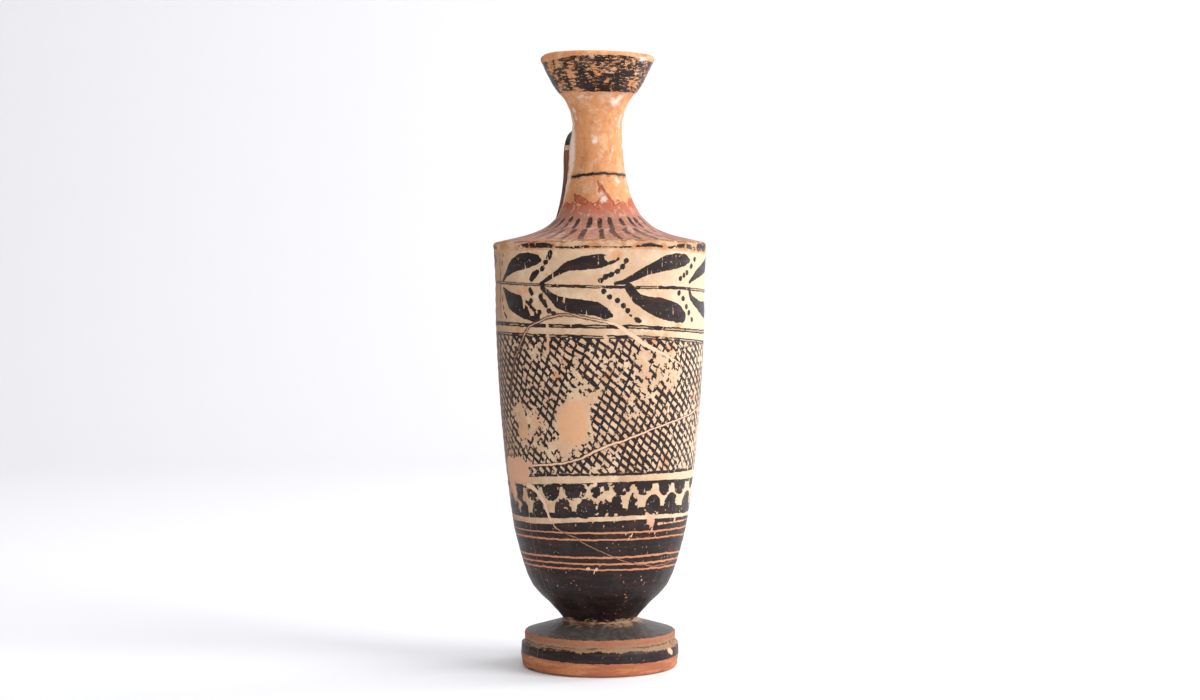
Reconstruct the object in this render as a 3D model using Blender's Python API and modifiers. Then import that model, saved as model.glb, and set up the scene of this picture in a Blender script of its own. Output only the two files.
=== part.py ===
"""A lekythos: a slim oil flask of fired clay with a cup mouth, a tall neck, a sharp-edged shoulder,
a body that tapers to a narrow stem, a disc foot in two steps and a strap handle at the back.

The vessel is one fired piece, so it is one solid: a hollow turned wall with the handle luted on.
Metres, +Z up. The origin is on the turning axis, on the plane that the foot stands on. The handle
is at +Y. A profile point holds a distance from the axis and a height."""

import math

import bmesh
import bpy
from mathutils import Matrix, Vector

# Foot: a lower disc, a slightly narrower upper disc and a crown that rises to the stem.
FOOT_RADIUS = 0.0285
FOOT_LOWER_HEIGHT = 0.0094
FOOT_SIDE_BULGE = 0.0005
FOOT_SIDE_TOP_INSET = 0.0002
FOOT_EDGE_ROUNDING = 0.0016
FOOT_TIER_STEP = 0.0014
FOOT_UPPER_HEIGHT = 0.0036
FOOT_UPPER_ROUNDING = 0.0004
FOOT_GROOVE_DEPTH = 0.0005
FOOT_GROOVE_WIDTH = 0.0008
FOOT_CROWN_RISE = 0.0035
REST_RING_WIDTH = 0.0060
UNDERSIDE_SLOPE_RUN = 0.0012
UNDERSIDE_STEP = 0.0025
UNDERSIDE_DEPTH = 0.0050

# Stem: the narrowest place, between the foot and the body.
STEM_RADIUS = 0.0135
STEM_FILLET = 0.0012
STEM_FLARE = math.radians(37.5)

# Body: it swells fast to the belly, then slowly to the shoulder's edge.
BELLY_HEIGHT = 0.0323
BELLY_TAPER = 0.0074
BELLY_LEAN = math.radians(13.3)
BODY_HEIGHT = 0.1353
UPPER_BODY_DROP = 0.0170
UPPER_BODY_INSET = 0.0007
SHOULDER_RADIUS = 0.0383
SHOULDER_ROUNDING = 0.0013
SHOULDER_EDGE_LEAN = math.radians(3)

# Shoulder and neck: the slope leaves the shoulder's edge and sweeps up into the neck.
SHOULDER_SLOPE = math.radians(14.7)
NECK_HEIGHT = 0.0410
NECK_RADIUS = 0.00885

# Mouth: a short flare from the neck, then a cup that steepens towards a thick, rounded lip.
MOUTH_FLARE_HEIGHT = 0.0126
CUP_BASE_RADIUS = 0.0139
CUP_BASE_LEAN = math.radians(51)
CUP_HEIGHT = 0.0134
CUP_TOP_LEAN = math.radians(26)
MOUTH_RADIUS = 0.0204
LIP_WIDTH = 0.0035
LIP_ROUNDING = 0.0016
LIP_INNER_ROUNDING = 0.0005

# Walls.
BODY_WALL = 0.0036
NECK_WALL = 0.0031
FLOOR_THICKNESS = 0.0060

# Handle: an oval strap that stands on the shoulder, bends over and meets the neck.
HANDLE_WIDTH = 0.0090
HANDLE_THICKNESS = 0.0052
HANDLE_FOOT_INSET = 0.0118
HANDLE_LEAN_IN = 0.0018
HANDLE_TOP_ABOVE_WAIST = 0.0011
HANDLE_BEND_HEIGHT = 0.0105
HANDLE_BEND_RUN = 0.0072
HANDLE_NECK_DIP = 0.0018
HANDLE_FOOT_WIDTH = 0.0232
HANDLE_FOOT_FLARE_HEIGHT = 0.0300
HANDLE_NECK_WIDTH = 0.0112
HANDLE_NECK_FLARE_LENGTH = 0.0060
HANDLE_END_TO_HOLLOW = 0.0009

# The thrown neck stands a little off the body's axis, seen from the front.
NECK_LEAN = 0.0010

# Two small breaks: one in the lip, one in the foot's lower edge. Their cutters are flattened lumps.
LIP_CHIP_SIZE = 0.0034
LIP_CHIP_AZIMUTH = math.radians(-58)
FOOT_CHIP_SIZE = 0.0019
FOOT_CHIP_AZIMUTH = math.radians(-173)
CHIP_PROPORTIONS = (0.6, 1.5, 0.45)
CHIP_TILT = math.radians(11)

# Heights where one part of the profile meets the next.
FOOT_TOP = FOOT_LOWER_HEIGHT + FOOT_UPPER_HEIGHT
STEM_Z = FOOT_TOP + FOOT_CROWN_RISE + STEM_FILLET
SHOULDER_Z = STEM_Z + BODY_HEIGHT
NECK_Z = SHOULDER_Z + NECK_HEIGHT
CUP_Z = NECK_Z + MOUTH_FLARE_HEIGHT
LIP_Z = CUP_Z + CUP_HEIGHT
REST_RING_INNER_RADIUS = FOOT_RADIUS - FOOT_SIDE_BULGE - FOOT_EDGE_ROUNDING - REST_RING_WIDTH

# How far a curve keeps the direction of its end, as a share of its own height or run.
STEM_REACH = 0.5
BELLY_REACH_DOWN = 0.86
BELLY_REACH_UP = 0.04
UPPER_BODY_REACH = 0.475
EVEN_REACH = 1 / 3
SLOPE_REACH = 0.58
NECK_REACH_DOWN = 0.95
NECK_REACH_UP = 0.3
CUP_BASE_REACH_DOWN = 0.35
CUP_BASE_REACH_UP = 0.15
CUP_TOP_REACH = 0.5
HANDLE_BEND_REACH_UP = 0.62
HANDLE_BEND_REACH_IN = 0.6
HANDLE_TOP_REACH = 0.4

# The hollow: how flat its floor is, and how far up the neck the wall goes on thinning.
FLOOR_FLAT_SHARE = 0.6
FLOOR_EDGE_RISE_SHARE = 0.25
WALL_CHANGE_SHARE = 0.5
LEAST_WALL_SHARE = 0.97

# How finely the surfaces are cut into facets.
TURN_STEPS = 48
BELLY_STEPS = 8
UPPER_BODY_STEPS = 6
SHOULDER_FLARE_STEPS = 3
NECK_STEPS = 12
MOUTH_FLARE_STEPS = 5
CUP_SIDE_STEPS = 3
LIP_STEPS = 4
SMALL_ROUNDING_STEPS = 2
ROUNDING_STEPS = 3
HANDLE_BEVEL_RESOLUTION = 4
HANDLE_RISE_STEPS = 6
HANDLE_BEND_STEPS = 5
CAVITY_POINT_SPACING = 0.0034
MERGE_DISTANCE = 0.00005
SHARP_ANGLE = math.radians(40)

CLAY_COLOUR = (0.72, 0.42, 0.22, 1.0)
CLAY_ROUGHNESS = 0.7


def clear_scene():
    for obj in list(bpy.data.objects):
        bpy.data.objects.remove(obj)


def new_collection(name):
    made = bpy.data.collections.new(name)
    bpy.context.scene.collection.children.link(made)
    return made


def clay_material():
    material = bpy.data.materials.new("fired_clay")
    material.use_nodes = True
    shader = material.node_tree.nodes["Principled BSDF"]
    shader.inputs["Base Color"].default_value = CLAY_COLOUR
    shader.inputs["Roughness"].default_value = CLAY_ROUGHNESS
    shader.inputs["Metallic"].default_value = 0.0
    return material


def arc(centre, radius, start, end, steps=ROUNDING_STEPS):
    """Points on a round stretch, from angle start to angle end. Angle 0 points away from the axis."""
    found = []
    for step in range(steps + 1):
        angle = start + (end - start) * step / steps
        found.append(centre + radius * Vector((math.cos(angle), math.sin(angle))))
    return found


def bezier(start, start_handle, end_handle, end, steps):
    """Points on a cubic Bezier curve, without its first point. The handles are relative."""
    found = []
    for step in range(1, steps + 1):
        t = step / steps
        u = 1.0 - t
        near_start = u * u * (start + 3 * t * start_handle + 2 * t * start)
        near_end = t * t * (end + 3 * u * end_handle + 2 * u * end)
        found.append(near_start + near_end)
    return found


def lean(angle, length):
    """A step of that length, tilted out from the vertical by angle."""
    return length * Vector((math.sin(angle), math.cos(angle)))


def smooth(share):
    """A share between 0 and 1 with an eased start and end."""
    share = min(max(share, 0.0), 1.0)
    return share * share * (3.0 - 2.0 * share)


def foot_profile():
    """The foot's outside, from the resting ring's inner edge to the stem."""
    upper_radius = FOOT_RADIUS - FOOT_TIER_STEP
    groove_radius = upper_radius - FOOT_GROOVE_DEPTH
    side_top = FOOT_LOWER_HEIGHT - FOOT_GROOVE_WIDTH
    points = [Vector((REST_RING_INNER_RADIUS, 0.0))]
    low_corner = Vector((FOOT_RADIUS - FOOT_SIDE_BULGE - FOOT_EDGE_ROUNDING, FOOT_EDGE_ROUNDING))
    points += arc(low_corner, FOOT_EDGE_ROUNDING, -math.pi / 2, 0.0)
    points.append(Vector((FOOT_RADIUS, FOOT_LOWER_HEIGHT / 2)))
    points.append(Vector((FOOT_RADIUS - FOOT_SIDE_TOP_INSET, side_top)))
    points.append(Vector((groove_radius, FOOT_LOWER_HEIGHT)))
    points.append(Vector((upper_radius, FOOT_LOWER_HEIGHT + FOOT_GROOVE_WIDTH)))
    top_corner = Vector((upper_radius - FOOT_UPPER_ROUNDING, FOOT_TOP - FOOT_UPPER_ROUNDING))
    points += arc(top_corner, FOOT_UPPER_ROUNDING, 0.0, math.pi / 2, SMALL_ROUNDING_STEPS)
    crown_end = Vector((STEM_RADIUS + STEM_FILLET, FOOT_TOP + FOOT_CROWN_RISE))
    points.append((points[-1] + crown_end) / 2)
    fillet_centre = crown_end + Vector((0.0, STEM_FILLET))
    points += arc(fillet_centre, STEM_FILLET, -math.pi / 2, -math.pi, SMALL_ROUNDING_STEPS)
    return points


def body_profile():
    """The body's outside, from just above the stem to the shoulder's edge."""
    stem = Vector((STEM_RADIUS, STEM_Z))
    belly = Vector((SHOULDER_RADIUS - BELLY_TAPER, STEM_Z + BELLY_HEIGHT))
    upper = Vector((SHOULDER_RADIUS - UPPER_BODY_INSET, SHOULDER_Z - UPPER_BODY_DROP))
    edge = Vector((SHOULDER_RADIUS, SHOULDER_Z - SHOULDER_ROUNDING))
    rise = upper.y - belly.y
    flare = edge.y - upper.y
    stem_start = lean(STEM_FLARE, BELLY_HEIGHT * STEM_REACH)
    belly_end = lean(BELLY_LEAN, -BELLY_HEIGHT * BELLY_REACH_DOWN)
    belly_start = lean(BELLY_LEAN, rise * BELLY_REACH_UP)
    upper_end = lean(0.0, -rise * UPPER_BODY_REACH)
    upper_start = lean(0.0, flare * EVEN_REACH)
    edge_end = lean(SHOULDER_EDGE_LEAN, -flare * EVEN_REACH)
    points = bezier(stem, stem_start, belly_end, belly, BELLY_STEPS)
    points += bezier(belly, belly_start, upper_end, upper, UPPER_BODY_STEPS)
    points += bezier(upper, upper_start, edge_end, edge, SHOULDER_FLARE_STEPS)
    return points


def shoulder_profile():
    """The rounded shoulder edge, the slope above it and the neck, up to the neck's narrowest place."""
    corner = Vector((SHOULDER_RADIUS - SHOULDER_ROUNDING, SHOULDER_Z - SHOULDER_ROUNDING))
    points = arc(corner, SHOULDER_ROUNDING, 0.0, math.pi / 2 - SHOULDER_SLOPE)[1:]
    waist = Vector((NECK_RADIUS, NECK_Z))
    inward = Vector((-math.cos(SHOULDER_SLOPE), math.sin(SHOULDER_SLOPE)))
    slope_start = inward * (SHOULDER_RADIUS - NECK_RADIUS) * SLOPE_REACH
    neck_end = lean(0.0, -NECK_HEIGHT * NECK_REACH_DOWN)
    points += bezier(points[-1], slope_start, neck_end, waist, NECK_STEPS)
    return points


def mouth_profile():
    """The flare over the neck, the cup's side and its rounded lip, up to the lip's flat top."""
    waist = Vector((NECK_RADIUS, NECK_Z))
    cup_base = Vector((CUP_BASE_RADIUS, CUP_Z))
    corner = Vector((MOUTH_RADIUS - LIP_ROUNDING, LIP_Z - LIP_ROUNDING))
    lip_points = arc(corner, LIP_ROUNDING, -CUP_TOP_LEAN, math.pi / 2, LIP_STEPS)
    cup_side = (lip_points[0] - cup_base).length
    flare_start = lean(0.0, MOUTH_FLARE_HEIGHT * NECK_REACH_UP)
    flare_end = lean(CUP_BASE_LEAN, -MOUTH_FLARE_HEIGHT * CUP_BASE_REACH_DOWN)
    side_start = lean(CUP_BASE_LEAN, cup_side * CUP_BASE_REACH_UP)
    side_end = lean(CUP_TOP_LEAN, -cup_side * CUP_TOP_REACH)
    points = bezier(waist, flare_start, flare_end, cup_base, MOUTH_FLARE_STEPS)
    points += bezier(cup_base, side_start, side_end, lip_points[0], CUP_SIDE_STEPS)
    return points + lip_points[1:]


def wall_at(height):
    """The wall's thickness: the body's below the shoulder and the neck's above it."""
    change_height = NECK_HEIGHT * WALL_CHANGE_SHARE
    return BODY_WALL + (NECK_WALL - BODY_WALL) * smooth((height - SHOULDER_Z) / change_height)


def distance_to_line(point, line):
    """How far a point lies from a line of joined points."""
    nearest = math.inf
    for a, b in zip(line, line[1:]):
        along = (point - a).dot(b - a) / (b - a).length_squared
        nearest = min(nearest, (point - a - (b - a) * min(max(along, 0.0), 1.0)).length)
    return nearest


def moved_inward(outside):
    """The outside moved in by the wall, without points that a tight bend would put too near it."""
    floor_z = STEM_Z + FLOOR_THICKNESS
    lip_limit = LIP_Z - LIP_INNER_ROUNDING
    points = []
    for before, here, after in zip(outside, outside[1:], outside[2:]):
        along = (after - before).normalized()
        wall = wall_at(here.y)
        moved = here + wall * Vector((-along.y, along.x))
        clear = distance_to_line(moved, outside) > wall * LEAST_WALL_SHARE
        spaced = not points or (moved - points[-1]).length > CAVITY_POINT_SPACING
        if clear and spaced and floor_z < moved.y < lip_limit and moved.x > 0:
            points.append(moved)
    return points


def cavity_profile(outside):
    """The inside, from the middle of the floor up to the lip's flat top."""
    floor_z = STEM_Z + FLOOR_THICKNESS
    points = moved_inward(outside)
    edge_rise = (points[0].y - floor_z) * FLOOR_EDGE_RISE_SHARE
    floor_edge = Vector((points[0].x * FLOOR_FLAT_SHARE, floor_z + edge_rise))
    lip_corner = Vector((MOUTH_RADIUS - LIP_WIDTH + LIP_INNER_ROUNDING, LIP_Z - LIP_INNER_ROUNDING))
    lip = arc(lip_corner, LIP_INNER_ROUNDING, math.pi, math.pi / 2, SMALL_ROUNDING_STEPS)
    return [Vector((0.0, floor_z)), floor_edge] + points + lip


def underside_profile():
    """The hollow under the foot, from the axis out to the resting ring."""
    step = Vector((REST_RING_INNER_RADIUS - UNDERSIDE_SLOPE_RUN, UNDERSIDE_STEP))
    return [Vector((0.0, UNDERSIDE_DEPTH)), step]


def neck_lean_at(height):
    """How far the turned wall stands off the axis: nothing up to the shoulder, all of it at the neck."""
    return -NECK_LEAN * smooth((height - SHOULDER_Z) / NECK_HEIGHT)


def made_mesh(source, name, collection):
    """A mesh object of what source shows, in the place of source, with its points welded."""
    bpy.context.view_layer.update()
    evaluated = source.evaluated_get(bpy.context.evaluated_depsgraph_get())
    mesh = bpy.data.meshes.new_from_object(evaluated)
    welded = bmesh.new()
    welded.from_mesh(mesh)
    bmesh.ops.remove_doubles(welded, verts=welded.verts, dist=MERGE_DISTANCE)
    welded.to_mesh(mesh)
    welded.free()
    made = bpy.data.objects.new(name, mesh)
    made.matrix_world = source.matrix_world
    collection.objects.link(made)
    bpy.data.objects.remove(source)
    return made


def turned_wall(collection):
    """The hollow vessel without its handle, turned from its profile, with the neck's lean."""
    outside = foot_profile() + body_profile() + shoulder_profile() + mouth_profile()
    line = cavity_profile(outside) + outside[::-1] + underside_profile()[::-1]
    mesh = bpy.data.meshes.new("vessel_profile")
    edges = [(i, i + 1) for i in range(len(line) - 1)]
    mesh.from_pydata([(point.x, 0.0, point.y) for point in line], edges, [])
    profile = bpy.data.objects.new("vessel_profile", mesh)
    collection.objects.link(profile)
    screw = profile.modifiers.new("Turn", "SCREW")
    screw.axis = "Z"
    screw.steps = TURN_STEPS
    screw.render_steps = TURN_STEPS
    screw.use_merge_vertices = True
    screw.merge_threshold = MERGE_DISTANCE
    wall = made_mesh(profile, "lekythos", collection)
    for vertex in wall.data.vertices:
        vertex.co.x += neck_lean_at(vertex.co.z)
    return wall


def shoulder_height_at(reach):
    """The height of the shoulder's outside at that distance from the axis."""
    line = shoulder_profile()
    for outer, inner in zip(line, line[1:]):
        if inner.x <= reach <= outer.x:
            share = (outer.x - reach) / (outer.x - inner.x)
            return outer.y + (inner.y - outer.y) * share
    return SHOULDER_Z


def handle_path():
    """The strap's middle line as distance from the axis and height: up, over and into the neck."""
    foot_reach = SHOULDER_RADIUS - HANDLE_FOOT_INSET
    foot_z = shoulder_height_at(foot_reach) - (BODY_WALL - HANDLE_END_TO_HOLLOW)
    foot = Vector((foot_reach, foot_z))
    top_z = NECK_Z + HANDLE_TOP_ABOVE_WAIST - HANDLE_THICKNESS / 2
    bend = Vector((foot_reach - HANDLE_LEAN_IN, top_z - HANDLE_BEND_HEIGHT))
    top = Vector((bend.x - HANDLE_BEND_RUN, top_z))
    neck = Vector((NECK_RADIUS - (NECK_WALL - HANDLE_END_TO_HOLLOW), top_z - HANDLE_NECK_DIP))
    rise = Vector((0.0, (bend.y - foot.y) * EVEN_REACH))
    points = [foot]
    points += bezier(foot, rise, -rise, bend, HANDLE_RISE_STEPS)
    corner_up = Vector((0.0, HANDLE_BEND_HEIGHT * HANDLE_BEND_REACH_UP))
    corner_in = Vector((HANDLE_BEND_RUN * HANDLE_BEND_REACH_IN, 0.0))
    points += bezier(bend, corner_up, corner_in, top, HANDLE_BEND_STEPS)
    run = Vector(((top.x - neck.x) * HANDLE_TOP_REACH, 0.0))
    points += bezier(top, -run, run, neck, HANDLE_BEND_STEPS)
    return points


def strap_width_at(reach, height, foot):
    """The strap's width there: widest where it stands on the shoulder, and wider again at the neck."""
    up_share = (height - foot.y) / HANDLE_FOOT_FLARE_HEIGHT
    neck_share = (reach - NECK_RADIUS) / HANDLE_NECK_FLARE_LENGTH
    at_foot = (HANDLE_FOOT_WIDTH - HANDLE_WIDTH) * max(0.0, 1.0 - up_share) ** 2
    at_neck = (HANDLE_NECK_WIDTH - HANDLE_WIDTH) * (1.0 - smooth(neck_share))
    return HANDLE_WIDTH + at_foot + at_neck


def strap_handle(collection):
    """The handle: a round tube along its path, spread sideways to an oval strap. Its ends are in the wall."""
    path = handle_path()
    curve = bpy.data.curves.new("handle_path", "CURVE")
    curve.dimensions = "3D"
    curve.bevel_depth = HANDLE_THICKNESS / 2
    curve.bevel_resolution = HANDLE_BEVEL_RESOLUTION
    curve.use_fill_caps = True
    spline = curve.splines.new("POLY")
    spline.points.add(len(path) - 1)
    for point, place in zip(spline.points, path):
        point.co = (0.0, place.x, place.y, 1.0)
    tube = bpy.data.objects.new("handle_path", curve)
    collection.objects.link(tube)
    strap = made_mesh(tube, "handle_strap", collection)
    for vertex in strap.data.vertices:
        width = strap_width_at(vertex.co.y, vertex.co.z, path[0])
        vertex.co.x = vertex.co.x * width / HANDLE_THICKNESS + neck_lean_at(vertex.co.z)
    return strap


def chip_cutter(name, size, azimuth, reach, height, collection):
    """A rough faceted lump, turned to lie along an edge, that takes a chip off it."""
    bpy.ops.mesh.primitive_ico_sphere_add(subdivisions=1, radius=size)
    cutter = bpy.context.object
    cutter.name = name
    turn = Matrix.Rotation(azimuth, 4, "Z") @ Matrix.Rotation(CHIP_TILT, 4, "X")
    cutter.data.transform(turn @ Matrix.Diagonal((*CHIP_PROPORTIONS, 1.0)))
    cutter.location = (reach * math.cos(azimuth), reach * math.sin(azimuth), height)
    for owner in list(cutter.users_collection):
        owner.objects.unlink(cutter)
    collection.objects.link(cutter)
    return cutter


def add_boolean(obj, operand, operation):
    """Join operand to obj or cut it away, and keep operand itself out of the model."""
    joint = obj.modifiers.new(operand.name, "BOOLEAN")
    joint.operation = operation
    joint.object = operand
    joint.solver = "EXACT"
    operand.hide_render = True
    operand.display_type = "WIRE"


def lekythos(parts, cutters):
    """The whole vessel: the turned wall, the handle joined to it and the two chips taken off."""
    vessel = turned_wall(parts)
    lip_radius = MOUTH_RADIUS - LIP_ROUNDING / 2
    foot_radius = FOOT_RADIUS - FOOT_EDGE_ROUNDING / 2
    add_boolean(vessel, strap_handle(cutters), "UNION")
    lip_chip = chip_cutter("lip_chip", LIP_CHIP_SIZE, LIP_CHIP_AZIMUTH, lip_radius, LIP_Z, cutters)
    add_boolean(vessel, lip_chip, "DIFFERENCE")
    foot_chip = chip_cutter("foot_chip", FOOT_CHIP_SIZE, FOOT_CHIP_AZIMUTH, foot_radius, 0.0, cutters)
    add_boolean(vessel, foot_chip, "DIFFERENCE")
    vessel.data.materials.append(clay_material())
    vessel.data.shade_smooth()
    vessel.data.set_sharp_from_angle(angle=SHARP_ANGLE)


def main():
    clear_scene()
    lekythos(new_collection("lekythos"), new_collection("cutters"))


main()
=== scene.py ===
"""The lekythos as it looks: worn black glaze, cream slip and bare clay on one turned vessel.

The vessel is built again from the sizes of the solid, with far finer rows and columns, so that the
hand-thrown relief is real and so that the painted ornament can be worked out on its points. Shapes
are in metres. Painted places are in millimetres of height and in degrees round the vessel, where 0
degrees faces the camera and the degrees grow to the right."""

import functools
import math

import bmesh
import bpy
import numpy as np
from mathutils import Matrix, Vector, kdtree, noise

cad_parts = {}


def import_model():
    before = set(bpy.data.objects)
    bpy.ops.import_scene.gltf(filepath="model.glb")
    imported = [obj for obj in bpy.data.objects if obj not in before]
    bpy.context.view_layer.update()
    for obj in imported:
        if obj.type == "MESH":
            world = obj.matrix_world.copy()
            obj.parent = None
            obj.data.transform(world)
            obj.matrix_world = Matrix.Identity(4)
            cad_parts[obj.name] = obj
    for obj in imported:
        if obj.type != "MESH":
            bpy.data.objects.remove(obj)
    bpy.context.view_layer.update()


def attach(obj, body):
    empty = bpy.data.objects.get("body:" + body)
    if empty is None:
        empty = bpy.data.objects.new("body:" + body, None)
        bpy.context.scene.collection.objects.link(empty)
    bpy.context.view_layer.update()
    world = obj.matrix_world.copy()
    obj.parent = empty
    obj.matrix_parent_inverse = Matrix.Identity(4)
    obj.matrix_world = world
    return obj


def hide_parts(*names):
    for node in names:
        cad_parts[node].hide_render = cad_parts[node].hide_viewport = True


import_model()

MM = 0.001

# The solid's sizes, as the part states them.
FOOT_RADIUS = 0.0285
FOOT_LOWER_HEIGHT = 0.0094
FOOT_SIDE_BULGE = 0.0005
FOOT_SIDE_TOP_INSET = 0.0002
FOOT_EDGE_ROUNDING = 0.0016
FOOT_TIER_STEP = 0.0014
FOOT_UPPER_HEIGHT = 0.0036
FOOT_UPPER_ROUNDING = 0.0004
FOOT_GROOVE_DEPTH = 0.0005
FOOT_GROOVE_WIDTH = 0.0008
FOOT_CROWN_RISE = 0.0035
REST_RING_WIDTH = 0.0060
UNDERSIDE_SLOPE_RUN = 0.0012
UNDERSIDE_STEP = 0.0025
UNDERSIDE_DEPTH = 0.0050
STEM_RADIUS = 0.0135
STEM_FILLET = 0.0012
STEM_FLARE = math.radians(37.5)
BELLY_HEIGHT = 0.0323
BELLY_TAPER = 0.0074
BELLY_LEAN = math.radians(13.3)
BODY_HEIGHT = 0.1353
UPPER_BODY_DROP = 0.0170
UPPER_BODY_INSET = 0.0007
SHOULDER_RADIUS = 0.0383
SHOULDER_ROUNDING = 0.0013
SHOULDER_EDGE_LEAN = math.radians(3)
SHOULDER_SLOPE = math.radians(14.7)
NECK_HEIGHT = 0.0410
NECK_RADIUS = 0.00885
NECK_LEAN = 0.0010
MOUTH_FLARE_HEIGHT = 0.0126
CUP_BASE_RADIUS = 0.0139
CUP_BASE_LEAN = math.radians(51)
CUP_HEIGHT = 0.0134
CUP_TOP_LEAN = math.radians(26)
MOUTH_RADIUS = 0.0204
LIP_WIDTH = 0.0035
LIP_ROUNDING = 0.0016
LIP_INNER_ROUNDING = 0.0005
BODY_WALL = 0.0036
NECK_WALL = 0.0031
FLOOR_THICKNESS = 0.0060
HANDLE_WIDTH = 0.0090
HANDLE_THICKNESS = 0.0052
HANDLE_FOOT_INSET = 0.0118
HANDLE_LEAN_IN = 0.0018
HANDLE_TOP_ABOVE_WAIST = 0.0011
HANDLE_BEND_HEIGHT = 0.0105
HANDLE_BEND_RUN = 0.0072
HANDLE_NECK_DIP = 0.0018
HANDLE_FOOT_WIDTH = 0.0232
HANDLE_FOOT_FLARE_HEIGHT = 0.0300
HANDLE_NECK_WIDTH = 0.0112
HANDLE_NECK_FLARE_LENGTH = 0.0060
HANDLE_END_TO_HOLLOW = 0.0009
LIP_CHIP_SIZE = 0.0034
LIP_CHIP_AZIMUTH = math.radians(-58)
FOOT_CHIP_SIZE = 0.0019
FOOT_CHIP_AZIMUTH = math.radians(-173)
CHIP_PROPORTIONS = (0.6, 1.5, 0.45)
CHIP_TILT = math.radians(11)

FOOT_TOP = FOOT_LOWER_HEIGHT + FOOT_UPPER_HEIGHT
STEM_Z = FOOT_TOP + FOOT_CROWN_RISE + STEM_FILLET
SHOULDER_Z = STEM_Z + BODY_HEIGHT
NECK_Z = SHOULDER_Z + NECK_HEIGHT
CUP_Z = NECK_Z + MOUTH_FLARE_HEIGHT
LIP_Z = CUP_Z + CUP_HEIGHT
REST_RING_INNER_RADIUS = FOOT_RADIUS - FOOT_SIDE_BULGE - FOOT_EDGE_ROUNDING - REST_RING_WIDTH

# How far each curve keeps the direction of its end, as a share of its own height or run.
STEM_REACH = 0.5
BELLY_REACH_DOWN = 0.86
BELLY_REACH_UP = 0.04
UPPER_BODY_REACH = 0.475
EVEN_REACH = 1 / 3
SLOPE_REACH = 0.58
NECK_REACH_DOWN = 0.95
NECK_REACH_UP = 0.3
CUP_BASE_REACH_DOWN = 0.35
CUP_BASE_REACH_UP = 0.15
CUP_TOP_REACH = 0.5
HANDLE_BEND_REACH_UP = 0.62
HANDLE_BEND_REACH_IN = 0.6
HANDLE_TOP_REACH = 0.4
WALL_CHANGE_SHARE = 0.5
LEAST_WALL_SHARE = 0.97

# How finely the surfaces are cut. Painted bands have closer rows, as (lowest z, highest z, spacing).
COLUMNS = 320
DENSE_STEPS = 240
FINE_ROWS = ((0.0560, 0.0695, 0.00064), (0.1240, 0.1535, 0.00062), (0.1535, 0.1630, 0.00085))
PLAIN_ROW_SPACING = 0.0016
INNER_ROW_SPACING = 0.0100
INNER_NECK_ROW_SPACING = 0.0060
CUP_ROW_SPACING = 0.0018
FOOT_ROW_SPACING = 0.0011
HANDLE_COLUMNS = 32
HANDLE_CURVE_STEPS = (34, 22, 24)

# The rows of the floor and of the underside, and how finely the outline is searched, in mm.
FLOOR_ROW_SHARES = (0.35, 0.75)
FLOOR_EDGE_RISE = 0.35
UNDERSIDE_ROW_SHARES = (0.55, 0.15)
WALL_POINT_STRIDE = 6
OUTLINE_SEARCH_SPACING = 0.3
STRAP_CLEAR_GAP = 0.7

# The camera, as the photograph was taken.
CAMERA_DISTANCE = 0.787
CAMERA_AZIMUTH = math.radians(-20)
CAMERA_HEIGHT = 0.1358
CAMERA_PITCH = math.radians(1.5765)
CAMERA_LENS = 65.4
SENSOR_WIDTH = 36.0
FRONT_AZIMUTH = -math.pi / 2 + CAMERA_AZIMUTH


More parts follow.
